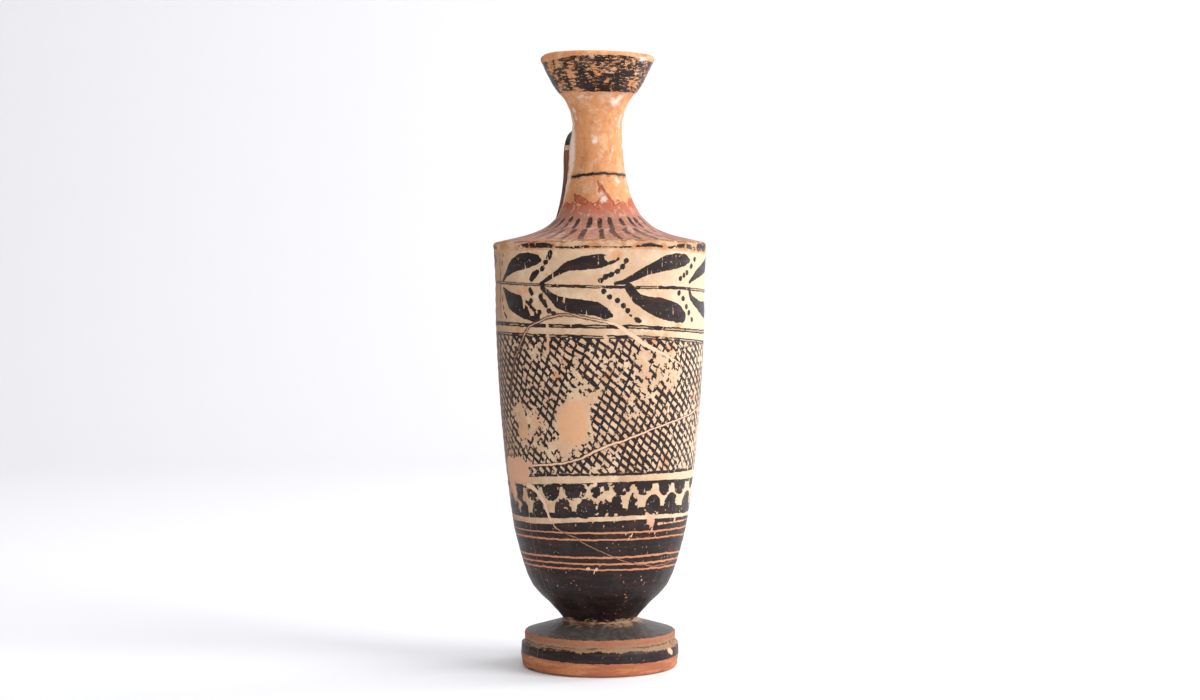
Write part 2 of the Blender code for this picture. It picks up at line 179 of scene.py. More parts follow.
# The painted ornament, as (degrees, height in mm) or (degrees, height in mm, half width in mm).
# Each painted ring has a level, its height at the front, and the heights it really takes on its way
# round, because the painter's hand dipped. Between two rings the level changes evenly.
PAINTED_RINGS = (
    (0, ((0, 0),)),
    (5.1, ((-61.6, 5.8), (0, 5.1), (48.2, 4.6), (73.3, 4.9))),
    (9, ((-84.5, 9), (0, 9), (39, 8.6), (73.5, 8.1))),
    (10.5, ((0, 10.5), (51.8, 10.6), (79.6, 11.2))),
    (13, ((0, 13),)),
    (30, ((0, 30),)),
    (38, ((-63.8, 38.1), (-21.2, 38.3), (0, 38), (31.5, 37.8), (62.3, 37.4), (85.6, 36.9))),
    (40, ((-64.6, 39.9), (-37, 40.2), (0, 40), (34.8, 40), (61.9, 40.1), (85.9, 39.5))),
    (42.4, ((-62.1, 42), (-11.4, 42.5), (0, 42.4), (39.1, 42.6), (54.2, 42.7), (86, 41.6))),
    (48.8, ((-65.3, 48.5), (-34, 48.6), (0, 48.8), (53.6, 48.9), (86.2, 48.1))),
    (51.2, ((-64.9, 51), (-34.7, 51.3), (0, 51.2), (64.3, 51.2), (86.6, 50.9))),
    (55.4, ((-69.1, 53.6), (-42.3, 53.6), (-30.1, 54), (-12.7, 55), (0, 55.4), (26.1, 55.9),
            (86.7, 55))),
    (57, ((-63.7, 56.2), (-26.1, 56.6), (0, 57), (19.1, 57.2), (41.4, 57.2), (86.8, 55.9))),
    (59.9, ((-56.5, 56.9), (-25.8, 58.3), (0, 59.9), (40.7, 60.1), (86.9, 59.1))),
    (67.7, ((-50, 66.1), (-35.5, 66.8), (-21.5, 67.4), (0, 67.7), (18.2, 68.2), (39.1, 68.3),
            (70.9, 67.7))),
    (69.1, ((-58.6, 67.2), (-43.3, 67.7), (-24.7, 68.6), (0, 69.1), (31.4, 69.4), (75.1, 68.6))),
    (71.9, ((-47.1, 70.7), (-24.4, 71.7), (0, 71.9), (63.3, 72.3))),
    (119.5, ((-72.4, 120.5), (-33.9, 120), (0, 119.5), (21.7, 119.6), (40.8, 118.7), (78.8, 117))),
    (123.2, ((-74, 124), (-33.8, 123.4), (0, 123.2), (21.7, 123), (40.7, 122.2), (72.4, 120.9))),
    (136.8, ((-75, 138.7), (-48, 137.9), (-21.5, 137.2), (0, 136.8), (48, 136.5), (78.2, 135.4))),
    (150.1, ((-68, 150), (-46.9, 149.7), (0, 150.1), (26.8, 150.1), (55.8, 149.5), (73.9, 149))),
    (153.4, ((-33.4, 153), (-13.1, 153.2), (0, 153.4), (30.8, 153.9), (48.2, 153.2))),
    (170, ((0, 170),)),
    (177.3, ((-80, 176), (-40, 176.6), (0, 177.3), (60, 177.1), (85, 176.8))),
    (205.9, ((-78.1, 206.4), (0, 205.9), (37.1, 206.1), (88.1, 206.3))),
    (218.2, ((-48.6, 217.1), (-28.2, 218), (0, 218.2), (28.6, 218.1), (48.6, 217.5), (70.3, 217.1))),
    (230, ((0, 230),)),
)

# The levels between which the glaze was painted round the turning pot, from the foot to the mouth.
GLAZED_LEVELS = (
    (5, 9.3), (13, 16.9), (17.4, 37.7), (38.3, 39.65), (40.3, 42.05), (42.75, 48.5), (49.1, 50.9),
    (51.55, 55.4), (57, 59.9), (67.7, 69.1), (71.4, 72.4), (118.9, 120.2), (122.5, 123.9),
    (136.3, 137.4), (205.9, 218.2),
)

# The middles of three of the lines, where the glaze is thin, so that they look double.
THIN_MIDDLES = ((119.35, 119.75), (123, 123.4), (136.7, 137.05))

# The branch of leaves that fills the top band: the front leaves as painted, each on its own spot.
LEAVES = (
    ((-66, 138.9, 0.6), (-61.5, 141.2, 1), (-53.6, 144.4, 2.4), (-47, 145.7, 2.9),
     (-41.5, 146.2, 2.7), (-36, 146.4, 1.9), (-33.6, 146.2, 0.8)),
    ((-65, 136.4, 0.6), (-56.5, 132, 3), (-50, 130.6, 3.6), (-44, 128.9, 3.3),
     (-38, 127, 2.3), (-35.5, 126, 1.2)),
    ((-33.5, 137.9, 0.6), (-23.5, 141.6, 0.9), (-17.5, 143.9, 1.6), (-9, 145, 2.4),
     (0, 145.8, 2.5), (6, 146.1, 1.4), (9.4, 146.5, 0.6)),
    ((-32.7, 136.8, 0.8), (-26.7, 133.6, 1.2), (-22, 131.4, 2.2), (-16, 130.4, 2.5),
     (-9.6, 130, 2.6), (-1.8, 129.3, 2.4), (2.8, 127.7, 2), (6, 127, 0.7)),
    ((8, 138, 0.6), (13, 138.6, 0.9), (19.8, 140.7, 1.3), (25.8, 142.6, 1.6), (32, 144, 2.2),
     (37.8, 145.2, 2.7), (45, 146, 2.7), (51, 146.3, 2.1), (55, 146.2, 1)),
    ((15.5, 136.5, 1.6), (20, 132.8, 1.9), (25.8, 131, 2.6), (32.7, 129.8, 3.5),
     (39.3, 128.7, 3.6), (46, 127.6, 3.3), (50, 126.5, 2.2)),
    ((56.5, 138.5, 0.6), (60, 139.9, 1), (65, 141.5, 1.6), (72, 143, 2.1), (79, 144.2, 2.4),
     (88, 145.4, 2.7), (97, 146, 1.2)),
    ((56, 136.3, 0.7), (58.5, 133, 1.1), (64, 131.3, 1.5), (70, 129.8, 2), (77, 129, 2.8),
     (86, 127.9, 2.9), (94, 126.6, 1.2)),
)
HIDDEN_NODES = (102.5, 147, -168, -123.5)
UPPER_LEAF = ((0, 138, 0.6), (5, 138.7, 0.9), (12, 140.8, 1.3), (18, 142.7, 1.7),
              (24, 144, 2.3), (30, 145.2, 2.7), (37, 145.9, 2.6), (43, 146.2, 1.6))
LOWER_LEAF = ((2.5, 136.4, 1.4), (7, 133, 1.9), (13, 131, 2.5), (20, 129.8, 3.3),
              (27, 128.8, 3.4), (34, 127.6, 2.9), (38, 126.5, 1.8))
LEAF_WANDER = (1.6, 0.5, 0.25)

DOT_RADIUS = 1.0
DOTS = (
    (-35.5, 142), (-32.1, 143.2), (-29.9, 145.4), (-27.7, 147.2), (-27, 148.4), (-39.7, 132),
    (-33.4, 133.7), (-31.1, 131.6), (-34, 128.1), (-28.1, 128.6), (-25.2, 127.6),
    (0.3, 139.1), (2.9, 140.3), (5.8, 141.1), (9.2, 142.2), (11.9, 143.8), (13.8, 145.9),
    (2, 135.3), (5.1, 133.5), (9.1, 132.2), (12.4, 130.4), (14.8, 128.7), (20.2, 125.4),
    (48, 139.8), (51.2, 141), (53.8, 141.9), (57.8, 144.2), (61.2, 146.6),
    (47.3, 134.8), (50.5, 132.8), (53.8, 130), (56.2, 127.8), (59.5, 125.4),
)
DOT_BLOBS = (
    ((-39.6, 139.6, 1), (-37.4, 141.2, 1.3)),
    ((-28.5, 146.9, 0.7), (-26.8, 148.8, 0.9)),
    ((-40.6, 136, 0.8), (-39.4, 134.6, 0.9)),
    ((-33, 132.6, 0.8), (-29.8, 130.2, 0.7)),
    ((19, 125.9, 0.6), (21.6, 125, 0.7)),
    ((16.2, 127.2, 0.45), (16.6, 126.9, 0.45)),
)
DOT_ROW_LENGTH = 6
DOT_ROW_UP = ((-11.5, 139.4), (2.8, 146.6))
DOT_ROW_DOWN = ((-10.8, 135), (4.6, 126.4))

# The vertical stroke where the painter began, and the small marks beside it.
START_STROKES = (
    ((-69.5, 149, 0.3), (-70, 136, 0.35), (-69.6, 126, 0.3)),
    ((-63.6, 148.6, 0.35), (-64.6, 147.8, 0.4)),
    ((-65.8, 146, 0.4), (-66.4, 144.6, 0.45)),
    ((-66.8, 133.6, 0.4), (-66.4, 132, 0.45)),
    ((-66, 130.2, 0.45), (-65.2, 129, 0.4)),
    ((-64.4, 127.8, 0.45), (-62, 126.2, 0.6)),
)

# The line under the shoulder's edge: long dashes, some thick and some thin.
EDGE_DASHES = (
    ((-48, 151.2, 0.4), (-41.5, 151.3, 0.85), (-29.8, 151.3, 0.9), (-24.5, 150.8, 0.5)),
    ((-23.4, 150.5, 0.35), (-15.7, 150.4, 0.4), (-6.2, 150.7, 0.5)),
    ((-4.1, 150.6, 0.3), (10.4, 150.4, 0.3), (16.7, 150.8, 0.35)),
    ((19, 150.9, 0.4), (26.8, 151.5, 0.65), (34.5, 150.8, 0.4)),
    ((38.5, 150.5, 0.4), (50.9, 151.4, 0.8), (57, 150.8, 0.8), (60.5, 150.2, 0.5)),
    ((65, 150.9, 1.4), (78.4, 151.1, 1.5)),
    ((90, 151, 0.5), (112, 151.2, 0.8), (133, 150.8, 0.5)),
    ((139, 150.9, 0.4), (158, 151.2, 0.7), (176, 150.8, 0.5)),
    ((-176, 150.9, 0.5), (-150, 151.3, 0.8), (-128, 150.8, 0.4)),
    ((-121, 150.8, 0.4), (-96, 151.2, 0.8), (-74, 150.9, 0.4)),
)

# Drops that hang from the black line and domes that rise from the band under it, on the front, as
# (degrees, height of the tip, half width). The hidden ones follow at an even pitch.
DROP_TOP_LEVEL = 67.7
DROPS = ((-59.9, 61.3, 2.5), (-46.1, 62, 2.8), (-31.3, 62.4, 3.1), (-15.4, 62.8, 3.7), (-1.9, 63.7, 1.9),
         (3.6, 65.4, 0.9), (13.4, 64.8, 2.9), (27.5, 64.6, 3), (43.4, 64, 2.6), (58.7, 63.8, 3.4))
DOME_BASE_LEVEL = 59.9
DOMES = ((-66.1, 60.7, 2.1), (-55.4, 61.9, 2.2), (-41.5, 62.3, 2.7), (-23.4, 63.2, 2.9), (-8.1, 63.3, 3.3),
         (2.6, 63.1, 1.9), (10.2, 64.5, 1.8), (20.7, 65.1, 1.4), (35, 64.3, 2.8), (50.4, 64.4, 3.2),
         (70.4, 64.3, 3.6))
DROP_PITCH = 15.4
DROP_SPREAD = (0.7, 0.5, 0.35)
DROP_SWELL = 0.3
OVAL_FULLNESS = 1.14
DROP_OVERLAP = 0.5
DOME_OVERLAP = 0.3
HIDDEN_DROPS_START = 78.0
HIDDEN_DROPS_COUNT = 14
HIDDEN_DROP_TIP = 63.9
HIDDEN_DROP_HALF = 2.8
OVAL_SHARES = (0.0, 0.5, 0.8, 1.0)
OVAL_LIMIT = 0.9

# Two rows of short strokes that spread from the neck over the shoulder: how many go round, where they
# start and end in mm from the axis, and how far they swing to one side.
RAY_ROWS = ((28, 16.9, 20.6, 0), (31, 22.6, 35, 1.5))
RAY_HALF_WIDTH = 0.95
RAY_SPREAD = {"turn": 1.0, "start": 0.3, "end": 0.9, "half": 0.1, "bend": 0.8}
RAY_BEND = 0.6
RAY_HEIGHTS = (153.2, 168.0)

# What time took: sherds meet along these cracks, as (degrees, height, half width of the pale line,
# half width of the brown stain round it).
CRACKS = {
    "upper": (
        (-63, 92, 0, 0.2), (-61, 98, 0, 0.45), (-58.7, 103.1, 0, 0.6), (-55.9, 108.1, 0.05, 0.7),
        (-54.6, 111.6, 0.05, 0.8), (-50.9, 114.1, 0.05, 0.8), (-48.4, 116.9, 0.08, 0.7),
        (-46, 119.6, 0.15, 0.6), (-41.5, 123.1, 0.14, 0.6), (-34, 124.9, 0.12, 0.6),
        (-28.8, 126.3, 0.12, 0.6), (-22.1, 127.2, 0.12, 0.6), (-13.8, 127.2, 0.12, 0.6),
        (-5.7, 126, 0.14, 0.55), (2.3, 125, 0.25, 0.5), (9.1, 123.8, 0.6, 0), (17.1, 120.3, 0.8, 0),
        (23.6, 117.4, 0.75, 0), (32.7, 114.7, 0.6, 0), (40.4, 112.5, 0.3, 0), (49.2, 110.3, 0.15, 0.2),
        (52.5, 106.4, 0.1, 0.2),
    ),
    "middle": (
        (-46, 74.2, 0.35, 0.6), (-31.7, 74.9, 0.32, 0.6), (-24.1, 75.4, 0.32, 0.55), (-16.8, 76.3, 0.3, 0.6),
        (-9.9, 77.7, 0.32, 0.7), (-5.8, 79.1, 0.35, 0.7), (2.9, 81.6, 0.4, 0.6), (11.8, 83.3, 0.34, 0.5),
        (20.8, 85.3, 0.3, 0.45), (30.2, 87.3, 0.27, 0.4), (41, 89, 0.26, 0.4), (58.9, 91.4, 0.26, 0.4),
        (78.3, 94.3, 0.24, 0.4), (96, 98, 0.2, 0.3),
    ),
    "lower": (
        (-51, 67.4, 0.8, 0), (-44.1, 66.3, 0.75, 0), (-40.7, 64.6, 0.75, 0), (-38.9, 63.1, 0.7, 0),
        (-36.7, 61.6, 0.65, 0), (-35.1, 58.9, 0.6, 0), (-34.1, 56.7, 0.5, 0), (-31.9, 54.9, 0.3, 0),
        (-30.4, 53.2, 0.24, 0), (-25.9, 51.7, 0.2, 0), (-15.6, 49.4, 0.19, 0), (-10.7, 47.5, 0.18, 0),
        (5.5, 43.4, 0.17, 0), (20.5, 40.3, 0.17, 0), (41.9, 38.5, 0.18, 0), (54.3, 38.6, 0.16, 0),
        (77, 40.3, 0.12, 0),
    ),
}
CRACK_REACH = 3.0

# Filled places where a lost sherd is made good in plain paste, and places where the paint came away.
FILLINGS = (
    ((-72, 75.4, 1.2), (-58, 75.2, 1.4), (-45, 74.6, 0.9)),
    ((-72, 72.5, 3), (-60, 71.4, 3.6), (-52, 70.8, 2.6)),
    ((-60, 70, 2.6), (-51, 68.6, 1.4)),
    ((-70, 68, 2.6), (-66, 63, 1.2)),
)
LOSSES = (
    ((-46, 136.2, 1), (-45.2, 133, 0.9), (-45, 129.4, 0.3)),
    ((-46, 137.4, 0.5), (-42.5, 135, 0.6)),
    ((-43.6, 131, 0.25), (-39, 127.6, 0.9)),
    ((-37.6, 130.8, 0.35), (-35.4, 127.6, 0.3)),
    ((7, 147.6, 1.5), (3.6, 146.9, 0.9), (4.8, 145.6, 0.4)),
    ((-19, 133.2, 0.25), (-20, 130.9, 0.25)),
    ((-29.5, 124.6, 0.5), (-29, 119, 0.5), (-29.4, 114, 0.7)),
    ((2, 121, 0.6), (4, 117.6, 0.9)),
    ((30.5, 57.8, 0.7), (34, 55.2, 1.5), (35.6, 53.4, 0.8), (36, 51.4, 0.3)),
    ((36.6, 55, 0.7), (40.3, 54, 0.6), (48, 53.9, 0.45), (62.5, 53.8, 0.3), (86.8, 53.4, 0.2)),
    ((40.6, 41.8, 0.1), (47.3, 41.7, 0.25), (59.3, 41.7, 0.3), (68.1, 41.9, 0.2)),
    ((29, 50, 0.5), (31, 49.6, 0.6), (33.5, 50.2, 0.4)),
    ((38.4, 50.6, 0.3), (39.6, 49.2, 0.35)),
    ((16.6, 50.8, 0.15), (19, 49.2, 0.3), (21.6, 50.6, 0.2)),
    ((2, 54.2, 0.35), (9.5, 55.2, 0.2)),
    ((2.1, 54.2, 0.3), (3, 52.6, 0.15)),
    ((11.5, 53.1, 0.15), (14.5, 53.7, 0.3)),
    ((22.4, 55, 0.3), (24, 54.2, 0.15)),
    ((26, 54.2, 0.2), (27.4, 54.8, 0.3)),
    ((56.6, 56, 0.3), (57.2, 54.6, 0.3)),
    ((-18, 54.8, 0.35), (-15.6, 53.8, 0.45)),
    ((-13, 55, 0.35), (-11.6, 54.6, 0.4)),
    ((-23.4, 60.4, 0.2), (-19.6, 59.6, 0.3)),
    ((-4.4, 55.4, 0.2), (-4.8, 54.2, 0.2)),
    ((3, 45.2, 0.1), (5.6, 46.2, 0.15)),
    ((-21, 34.8, 0.2), (-20.4, 33.8, 0.2)),
    ((60, 7.6, 0.8), (64.5, 6.6, 1)),
    ((-9.6, 38, 0.5), (-7.4, 38.8, 0.5)),
)

# Small chips in the glaze, as (degrees, height, radius).
CHIPS = (
    (-55.3, 44.1, 0.35), (-31.4, 44.2, 0.25), (-31.8, 37, 0.25), (-25.7, 36.8, 0.3), (-15.2, 36.7, 0.35),
    (-14, 36, 0.3), (-4.4, 36.7, 0.35), (-2.3, 38, 0.8), (4.1, 35.7, 0.4), (7.2, 35.7, 0.3),
    (32.9, 34.9, 0.35), (39.4, 34.7, 0.45), (34.1, 33.2, 0.6), (71.2, 31.6, 0.3), (14.8, 34.6, 0.25),
    (12, 31.9, 0.3), (15.6, 31.6, 0.25), (10, 45.5, 0.25), (15.5, 46.4, 0.35), (13.4, 45, 0.25),
    (53.5, 35, 0.2), (22.8, 52.6, 0.3), (29.9, 52.9, 0.3), (56.1, 50, 0.4), (61.9, 57.5, 0.35),
    (7.8, 50.1, 0.4), (9.4, 48.3, 0.3), (30.9, 46.8, 0.3), (-22.5, 51.6, 0.4), (-39.7, 57.8, 0.4),
    (-44.2, 58.6, 0.3), (-56.7, 44.1, 0.3), (-59.8, 53.2, 0.3), (-56.6, 51.8, 0.6), (-34.6, 64.6, 0.4),
    (-11.4, 65.4, 0.5), (-12.6, 64.2, 0.3), (2, 62, 0.4), (4.6, 61.6, 0.35), (15, 66.2, 0.4),
    (13, 65.6, 0.3), (22, 62.2, 0.3), (6.6, 66.6, 0.35), (41, 66.6, 0.3), (-47.4, 64.6, 0.4),
)

# Where the paint is worn more or less than round about: (degrees, height, reach in mm, amount).
WEAR_PATCHES = (
    (-15.5, 88, 4.2, 0.5), (-13, 94.5, 3, 0.24), (-5, 99, 2.4, 0.1), (20, 105, 4.5, 0.05),
    (41, 108, 3.4, 0.1), (30, 102, 4, 0.05), (-38, 90, 2.8, 0.2), (-52, 92, 4, 0.16),
    (-49, 84, 3, 0.18), (-46, 104, 2.4, 0.12), (24, 112, 3, 0.05), (-38, 114, 2.4, 0.08),
    (-26, 79, 2.4, 0.12), (40, 81, 13, -0.1), (-63, 103, 10, -0.12), (8, 88, 8, -0.07),
    (-14, 109, 8, -0.04), (-30, 84, 5, -0.05), (68, 106, 8, -0.06), (-5, 66, 4, 0.03),
    (22, 66, 3, 0.03), (34, 53, 3.4, 0.17), (20, 51, 3, 0.1), (2, 52, 3, 0.06),
    (36, 47, 3, 0.07), (48, 209, 2.2, 0.12), (53, 214, 2.2, 0.08), (-33, 210, 2.4, 0.09),
    (-62, 215, 3, 0.16), (-8, 213, 3, 0.03), (62, 8, 4, 0.16), (38, 9, 2, 0.08),
)
WEAR_AT_LEVELS = ((0, 0.3), (7, 0.3), (9.4, 0.4), (13, 0.2), (17, 0.3), (20, 0.14), (44, 0.16),
                  (50, 0.24), (57, 0.3), (60, 0.35), (68, 0.36), (70.5, 0.38), (72, 0.43),
                  (76, 0.44), (116, 0.455), (119, 0.42), (124.5, 0.36), (127, 0.24), (148, 0.24),
                  (150, 0.38), (153, 0.36), (163, 0.34), (176, 0.2), (205, 0.43), (219, 0.43))

# Pale crusts left by the soil, as (degrees, height, radius).
CRUSTS = (
    (40.4, 202.4, 1.6), (30, 203.6, 1.2), (-56.4, 197.3, 1.2), (46, 197, 1.1), (50, 192, 0.8),
    (-8, 189.2, 1.6), (5.7, 188.1, 1), (-13.1, 180.3, 0.8), (25, 181.8, 1.2), (40, 175, 1.5),
    (50, 174.2, 1), (3.7, 170.6, 1.3), (6.4, 168.1, 1.7), (32.5, 168.9, 1), (-82, 193, 1),
    (-86, 186, 1.1), (-82, 180, 1), (-70, 172, 0.8), (-49.3, 163.6, 0.6), (-13.7, 163.8, 0.6),
    (22.2, 163.4, 1.1), (17.7, 161.6, 0.9), (-8.8, 38.2, 0.9), (62.6, 35.6, 0.5), (-60, 200, 1.4),
)
CRUST_STREAKS = (
    ((-80, 204, 0.4), (-73, 197, 1.4), (-71, 190, 2.2), (-71, 182, 2.3),
     (-74, 177, 1.8), (-78, 170, 1.3), (-80, 163, 0.8)),
    ((-14, 190.6, 0.9), (-5, 188.4, 1.3)),
    ((40, 187, 0.7), (30, 184, 0.7)),
    ((52, 217.6, 1.7), (58, 217, 1.2)),
    ((44, 204.5, 1.4), (34, 202, 1.6), (26, 203.5, 0.9)),
    ((-34, 204.6, 1), (-12, 204, 1)),
    ((62, 199, 1), (58, 190, 0.7)),
    ((28, 176, 0.6), (44, 174.4, 1)),
    ((110, 198, 0.8), (118, 186, 1.6), (112, 176, 0.9)),
)
WASH_TONGUES = (
    ((-2, 175, 0.2), (3, 172.6, 0.6), (8, 169.6, 1.2), (12, 166.6, 2.2)),
    ((-48, 169.4, 0.6), (-36, 168, 1.4), (-24, 167, 1)),
    ((70, 168.6, 0.6), (62, 167, 1.4)),
    ((150, 171.4, 0.4), (156, 168.6, 1.2), (160, 166.6, 1.8)),
    ((-130, 170, 0.5), (-126, 167.6, 1.4)),
)
ORANGE_STAINS = (
    (30.8, 118.1, 2.4), (41.8, 115.6, 2.2), (46.7, 123, 1.8), (38, 120, 1.6), (42, 76, 3),
    (72, 104, 2.6), (66, 98, 2), (-49, 134.4, 2), (-44, 136.5, 1.6), (8.8, 147.5, 2.2),
    (-24, 106, 2.2), (-20, 110, 1.6), (4, 106, 2), (12, 83, 2.4), (-12, 137, 1.4),
    (-36, 147.6, 1.6), (-50, 122, 1.8),
)

# Crusts above this height lie on the neck. Marks are measured no further than the limit, in mm. The
# hidden side is painted with this seed, and its dots wander by this much.
CRUST_ON_NECK = 165.0
DEPTH_LIMIT = 3.0
PAINTER_SEED = 7
DOT_WANDER = 0.25


def smooth(share):
    """Shares between 0 and 1 with an eased start and end."""
    share = np.clip(share, 0.0, 1.0)
    return share * share * (3.0 - 2.0 * share)


def wrapped(degrees):
    """The same bearing, from -180 to 180 degrees."""
    return (degrees + 180.0) % 360.0 - 180.0


def arc(centre, radius, start, end, steps=6):
    """Points on a round stretch, from angle start to angle end. Angle 0 points away from the axis."""
    angles = np.linspace(start, end, steps + 1)
    return np.array(centre) + radius * np.column_stack((np.cos(angles), np.sin(angles)))


def bezier(start, start_handle, end_handle, end, steps=DENSE_STEPS):
    """Points on a cubic Bezier curve, without its first point. The handles are relative."""
    t = np.linspace(0.0, 1.0, steps + 1)[1:, None]
    u = 1.0 - t
    start = np.array(start)
    end = np.array(end)
    near_start = u * u * (start + 3 * t * np.array(start_handle) + 2 * t * start)
    near_end = t * t * (end + 3 * u * np.array(end_handle) + 2 * u * end)
    return near_start + near_end


def lean(angle, length):
    """A step of that length, tilted out from the vertical by angle."""
    return length * np.array((math.sin(angle), math.cos(angle)))


def lengths_along(line):
    """How far along a line each of its points lies."""
    return np.concatenate(([0.0], np.cumsum(np.hypot(*np.diff(line, axis=0).T))))


def spaced(line, spacing_at):
    """Points along a smooth line, as far apart as its height asks."""
    along = lengths_along(line)
    places = [0.0]
    while places[-1] < along[-1]:
        height = np.interp(places[-1], along, line[:, 1])
        places.append(places[-1] + spacing_at(height))
    places = np.array(places) * along[-1] / places[-1]
    return np.column_stack((np.interp(places, along, line[:, 0]), np.interp(places, along, line[:, 1])))


def outer_spacing(height):
    for lowest, highest, spacing in FINE_ROWS:
        if lowest <= height < highest:
            return spacing
    return PLAIN_ROW_SPACING


def inner_spacing(height):
    if height > NECK_Z:
        return CUP_ROW_SPACING
    return INNER_NECK_ROW_SPACING if height > SHOULDER_Z else INNER_ROW_SPACING


def foot_line():
    """The foot's outside, from the resting ring's inner edge to the stem."""
    upper_radius = FOOT_RADIUS - FOOT_TIER_STEP
    low_corner = (FOOT_RADIUS - FOOT_SIDE_BULGE - FOOT_EDGE_ROUNDING, FOOT_EDGE_ROUNDING)
    top_corner = (upper_radius - FOOT_UPPER_ROUNDING, FOOT_TOP - FOOT_UPPER_ROUNDING)
    crown_end = (STEM_RADIUS + STEM_FILLET, FOOT_TOP + FOOT_CROWN_RISE)
    fillet_centre = (crown_end[0], crown_end[1] + STEM_FILLET)
    corners = np.vstack((
        [(REST_RING_INNER_RADIUS, 0.0)],
        arc(low_corner, FOOT_EDGE_ROUNDING, -math.pi / 2, 0.0, 5),
        [(FOOT_RADIUS, FOOT_LOWER_HEIGHT / 2)],
        [(FOOT_RADIUS - FOOT_SIDE_TOP_INSET, FOOT_LOWER_HEIGHT - FOOT_GROOVE_WIDTH)],
        [(upper_radius - FOOT_GROOVE_DEPTH, FOOT_LOWER_HEIGHT)],
        [(upper_radius, FOOT_LOWER_HEIGHT + FOOT_GROOVE_WIDTH)],
        arc(top_corner, FOOT_UPPER_ROUNDING, 0.0, math.pi / 2, 2),
        arc(fillet_centre, STEM_FILLET, -math.pi / 2, -math.pi, 4),
    ))
    points = [corners[0]]
    for here, after in zip(corners, corners[1:]):
        parts = max(1, round(math.hypot(*(after - here)) / FOOT_ROW_SPACING))
        for part in range(1, parts + 1):
            points.append(here + (after - here) * part / parts)
    return np.array(points)


def wall_line():
    """The outside from the stem to the top of the cup's side, as one dense smooth line."""
    stem = (STEM_RADIUS, STEM_Z)
    belly = (SHOULDER_RADIUS - BELLY_TAPER, STEM_Z + BELLY_HEIGHT)
    upper = (SHOULDER_RADIUS - UPPER_BODY_INSET, SHOULDER_Z - UPPER_BODY_DROP)
    edge = (SHOULDER_RADIUS, SHOULDER_Z - SHOULDER_ROUNDING)
    rise = upper[1] - belly[1]
    flare = edge[1] - upper[1]
    body = np.vstack((
        [stem],
        bezier(stem, lean(STEM_FLARE, BELLY_HEIGHT * STEM_REACH),
               lean(BELLY_LEAN, -BELLY_HEIGHT * BELLY_REACH_DOWN), belly),
        bezier(belly, lean(BELLY_LEAN, rise * BELLY_REACH_UP), lean(0.0, -rise * UPPER_BODY_REACH), upper),
        bezier(upper, lean(0.0, flare * EVEN_REACH), lean(SHOULDER_EDGE_LEAN, -flare * EVEN_REACH), edge),
    ))
    corner = (SHOULDER_RADIUS - SHOULDER_ROUNDING, SHOULDER_Z - SHOULDER_ROUNDING)
    rounding = arc(corner, SHOULDER_ROUNDING, 0.0, math.pi / 2 - SHOULDER_SLOPE, 24)[1:]
    waist = (NECK_RADIUS, NECK_Z)
    inward = np.array((-math.cos(SHOULDER_SLOPE), math.sin(SHOULDER_SLOPE)))
    slope_start = inward * (SHOULDER_RADIUS - NECK_RADIUS) * SLOPE_REACH
    neck = bezier(rounding[-1], slope_start, lean(0.0, -NECK_HEIGHT * NECK_REACH_DOWN), waist)
    cup_base = (CUP_BASE_RADIUS, CUP_Z)
    lip_start = lip_line()[0]
    cup_side = math.hypot(*(lip_start - cup_base))
    flare_end = lean(CUP_BASE_LEAN, -MOUTH_FLARE_HEIGHT * CUP_BASE_REACH_DOWN)
    mouth = bezier(waist, lean(0.0, MOUTH_FLARE_HEIGHT * NECK_REACH_UP), flare_end, cup_base)
    side = bezier(cup_base, lean(CUP_BASE_LEAN, cup_side * CUP_BASE_REACH_UP),
                  lean(CUP_TOP_LEAN, -cup_side * CUP_TOP_REACH), lip_start)
    return np.vstack((body, rounding, neck, mouth, side))


def lip_line():
    """The lip's rounded outer edge, up to its flat top."""
    corner = (MOUTH_RADIUS - LIP_ROUNDING, LIP_Z - LIP_ROUNDING)
    return arc(corner, LIP_ROUNDING, -CUP_TOP_LEAN, math.pi / 2, 8)


def cavity_line(outside):
    """The inside, from the middle of the floor up to the lip's flat top."""
    along = np.gradient(outside, axis=0)
    along /= np.hypot(along[:, 0], along[:, 1])[:, None]
    thinning = smooth((outside[:, 1] - SHOULDER_Z) / (NECK_HEIGHT * WALL_CHANGE_SHARE))
    wall = BODY_WALL + (NECK_WALL - BODY_WALL) * thinning
    moved = outside + wall[:, None] * np.column_stack((-along[:, 1], along[:, 0]))
    gaps = np.hypot(moved[:, None, 0] - outside[None, :, 0], moved[:, None, 1] - outside[None, :, 1])
    floor_z = STEM_Z + FLOOR_THICKNESS
    lip_limit = LIP_Z - LIP_INNER_ROUNDING
    clear = gaps.min(axis=1) > wall * LEAST_WALL_SHARE
    kept = moved[clear & (moved[:, 1] > floor_z) & (moved[:, 1] < lip_limit) & (moved[:, 0] > 0)]
    inside = spaced(kept, inner_spacing)
    lip_corner = (MOUTH_RADIUS - LIP_WIDTH + LIP_INNER_ROUNDING, LIP_Z - LIP_INNER_ROUNDING)
    lip = arc(lip_corner, LIP_INNER_ROUNDING, math.pi, math.pi / 2, 4)
    start_share, edge_share = FLOOR_ROW_SHARES
    corner_reach, corner_z = inside[0]
    floor_start = (corner_reach * start_share, floor_z)
    floor_edge = (corner_reach * edge_share, floor_z + (corner_z - floor_z) * FLOOR_EDGE_RISE)
    return np.vstack(([floor_start, floor_edge], inside, lip))


def neck_lean_at(height):
    """How far the vessel stands off the axis there: nothing up to the shoulder, all of it at the neck."""
    return -NECK_LEAN * smooth((height - SHOULDER_Z) / NECK_HEIGHT)


def front_degrees(x, y):
    """Degrees round the vessel from the side that faces the camera, from -180 to 180."""
    return wrapped(np.degrees(np.arctan2(y, x) - FRONT_AZIMUTH))


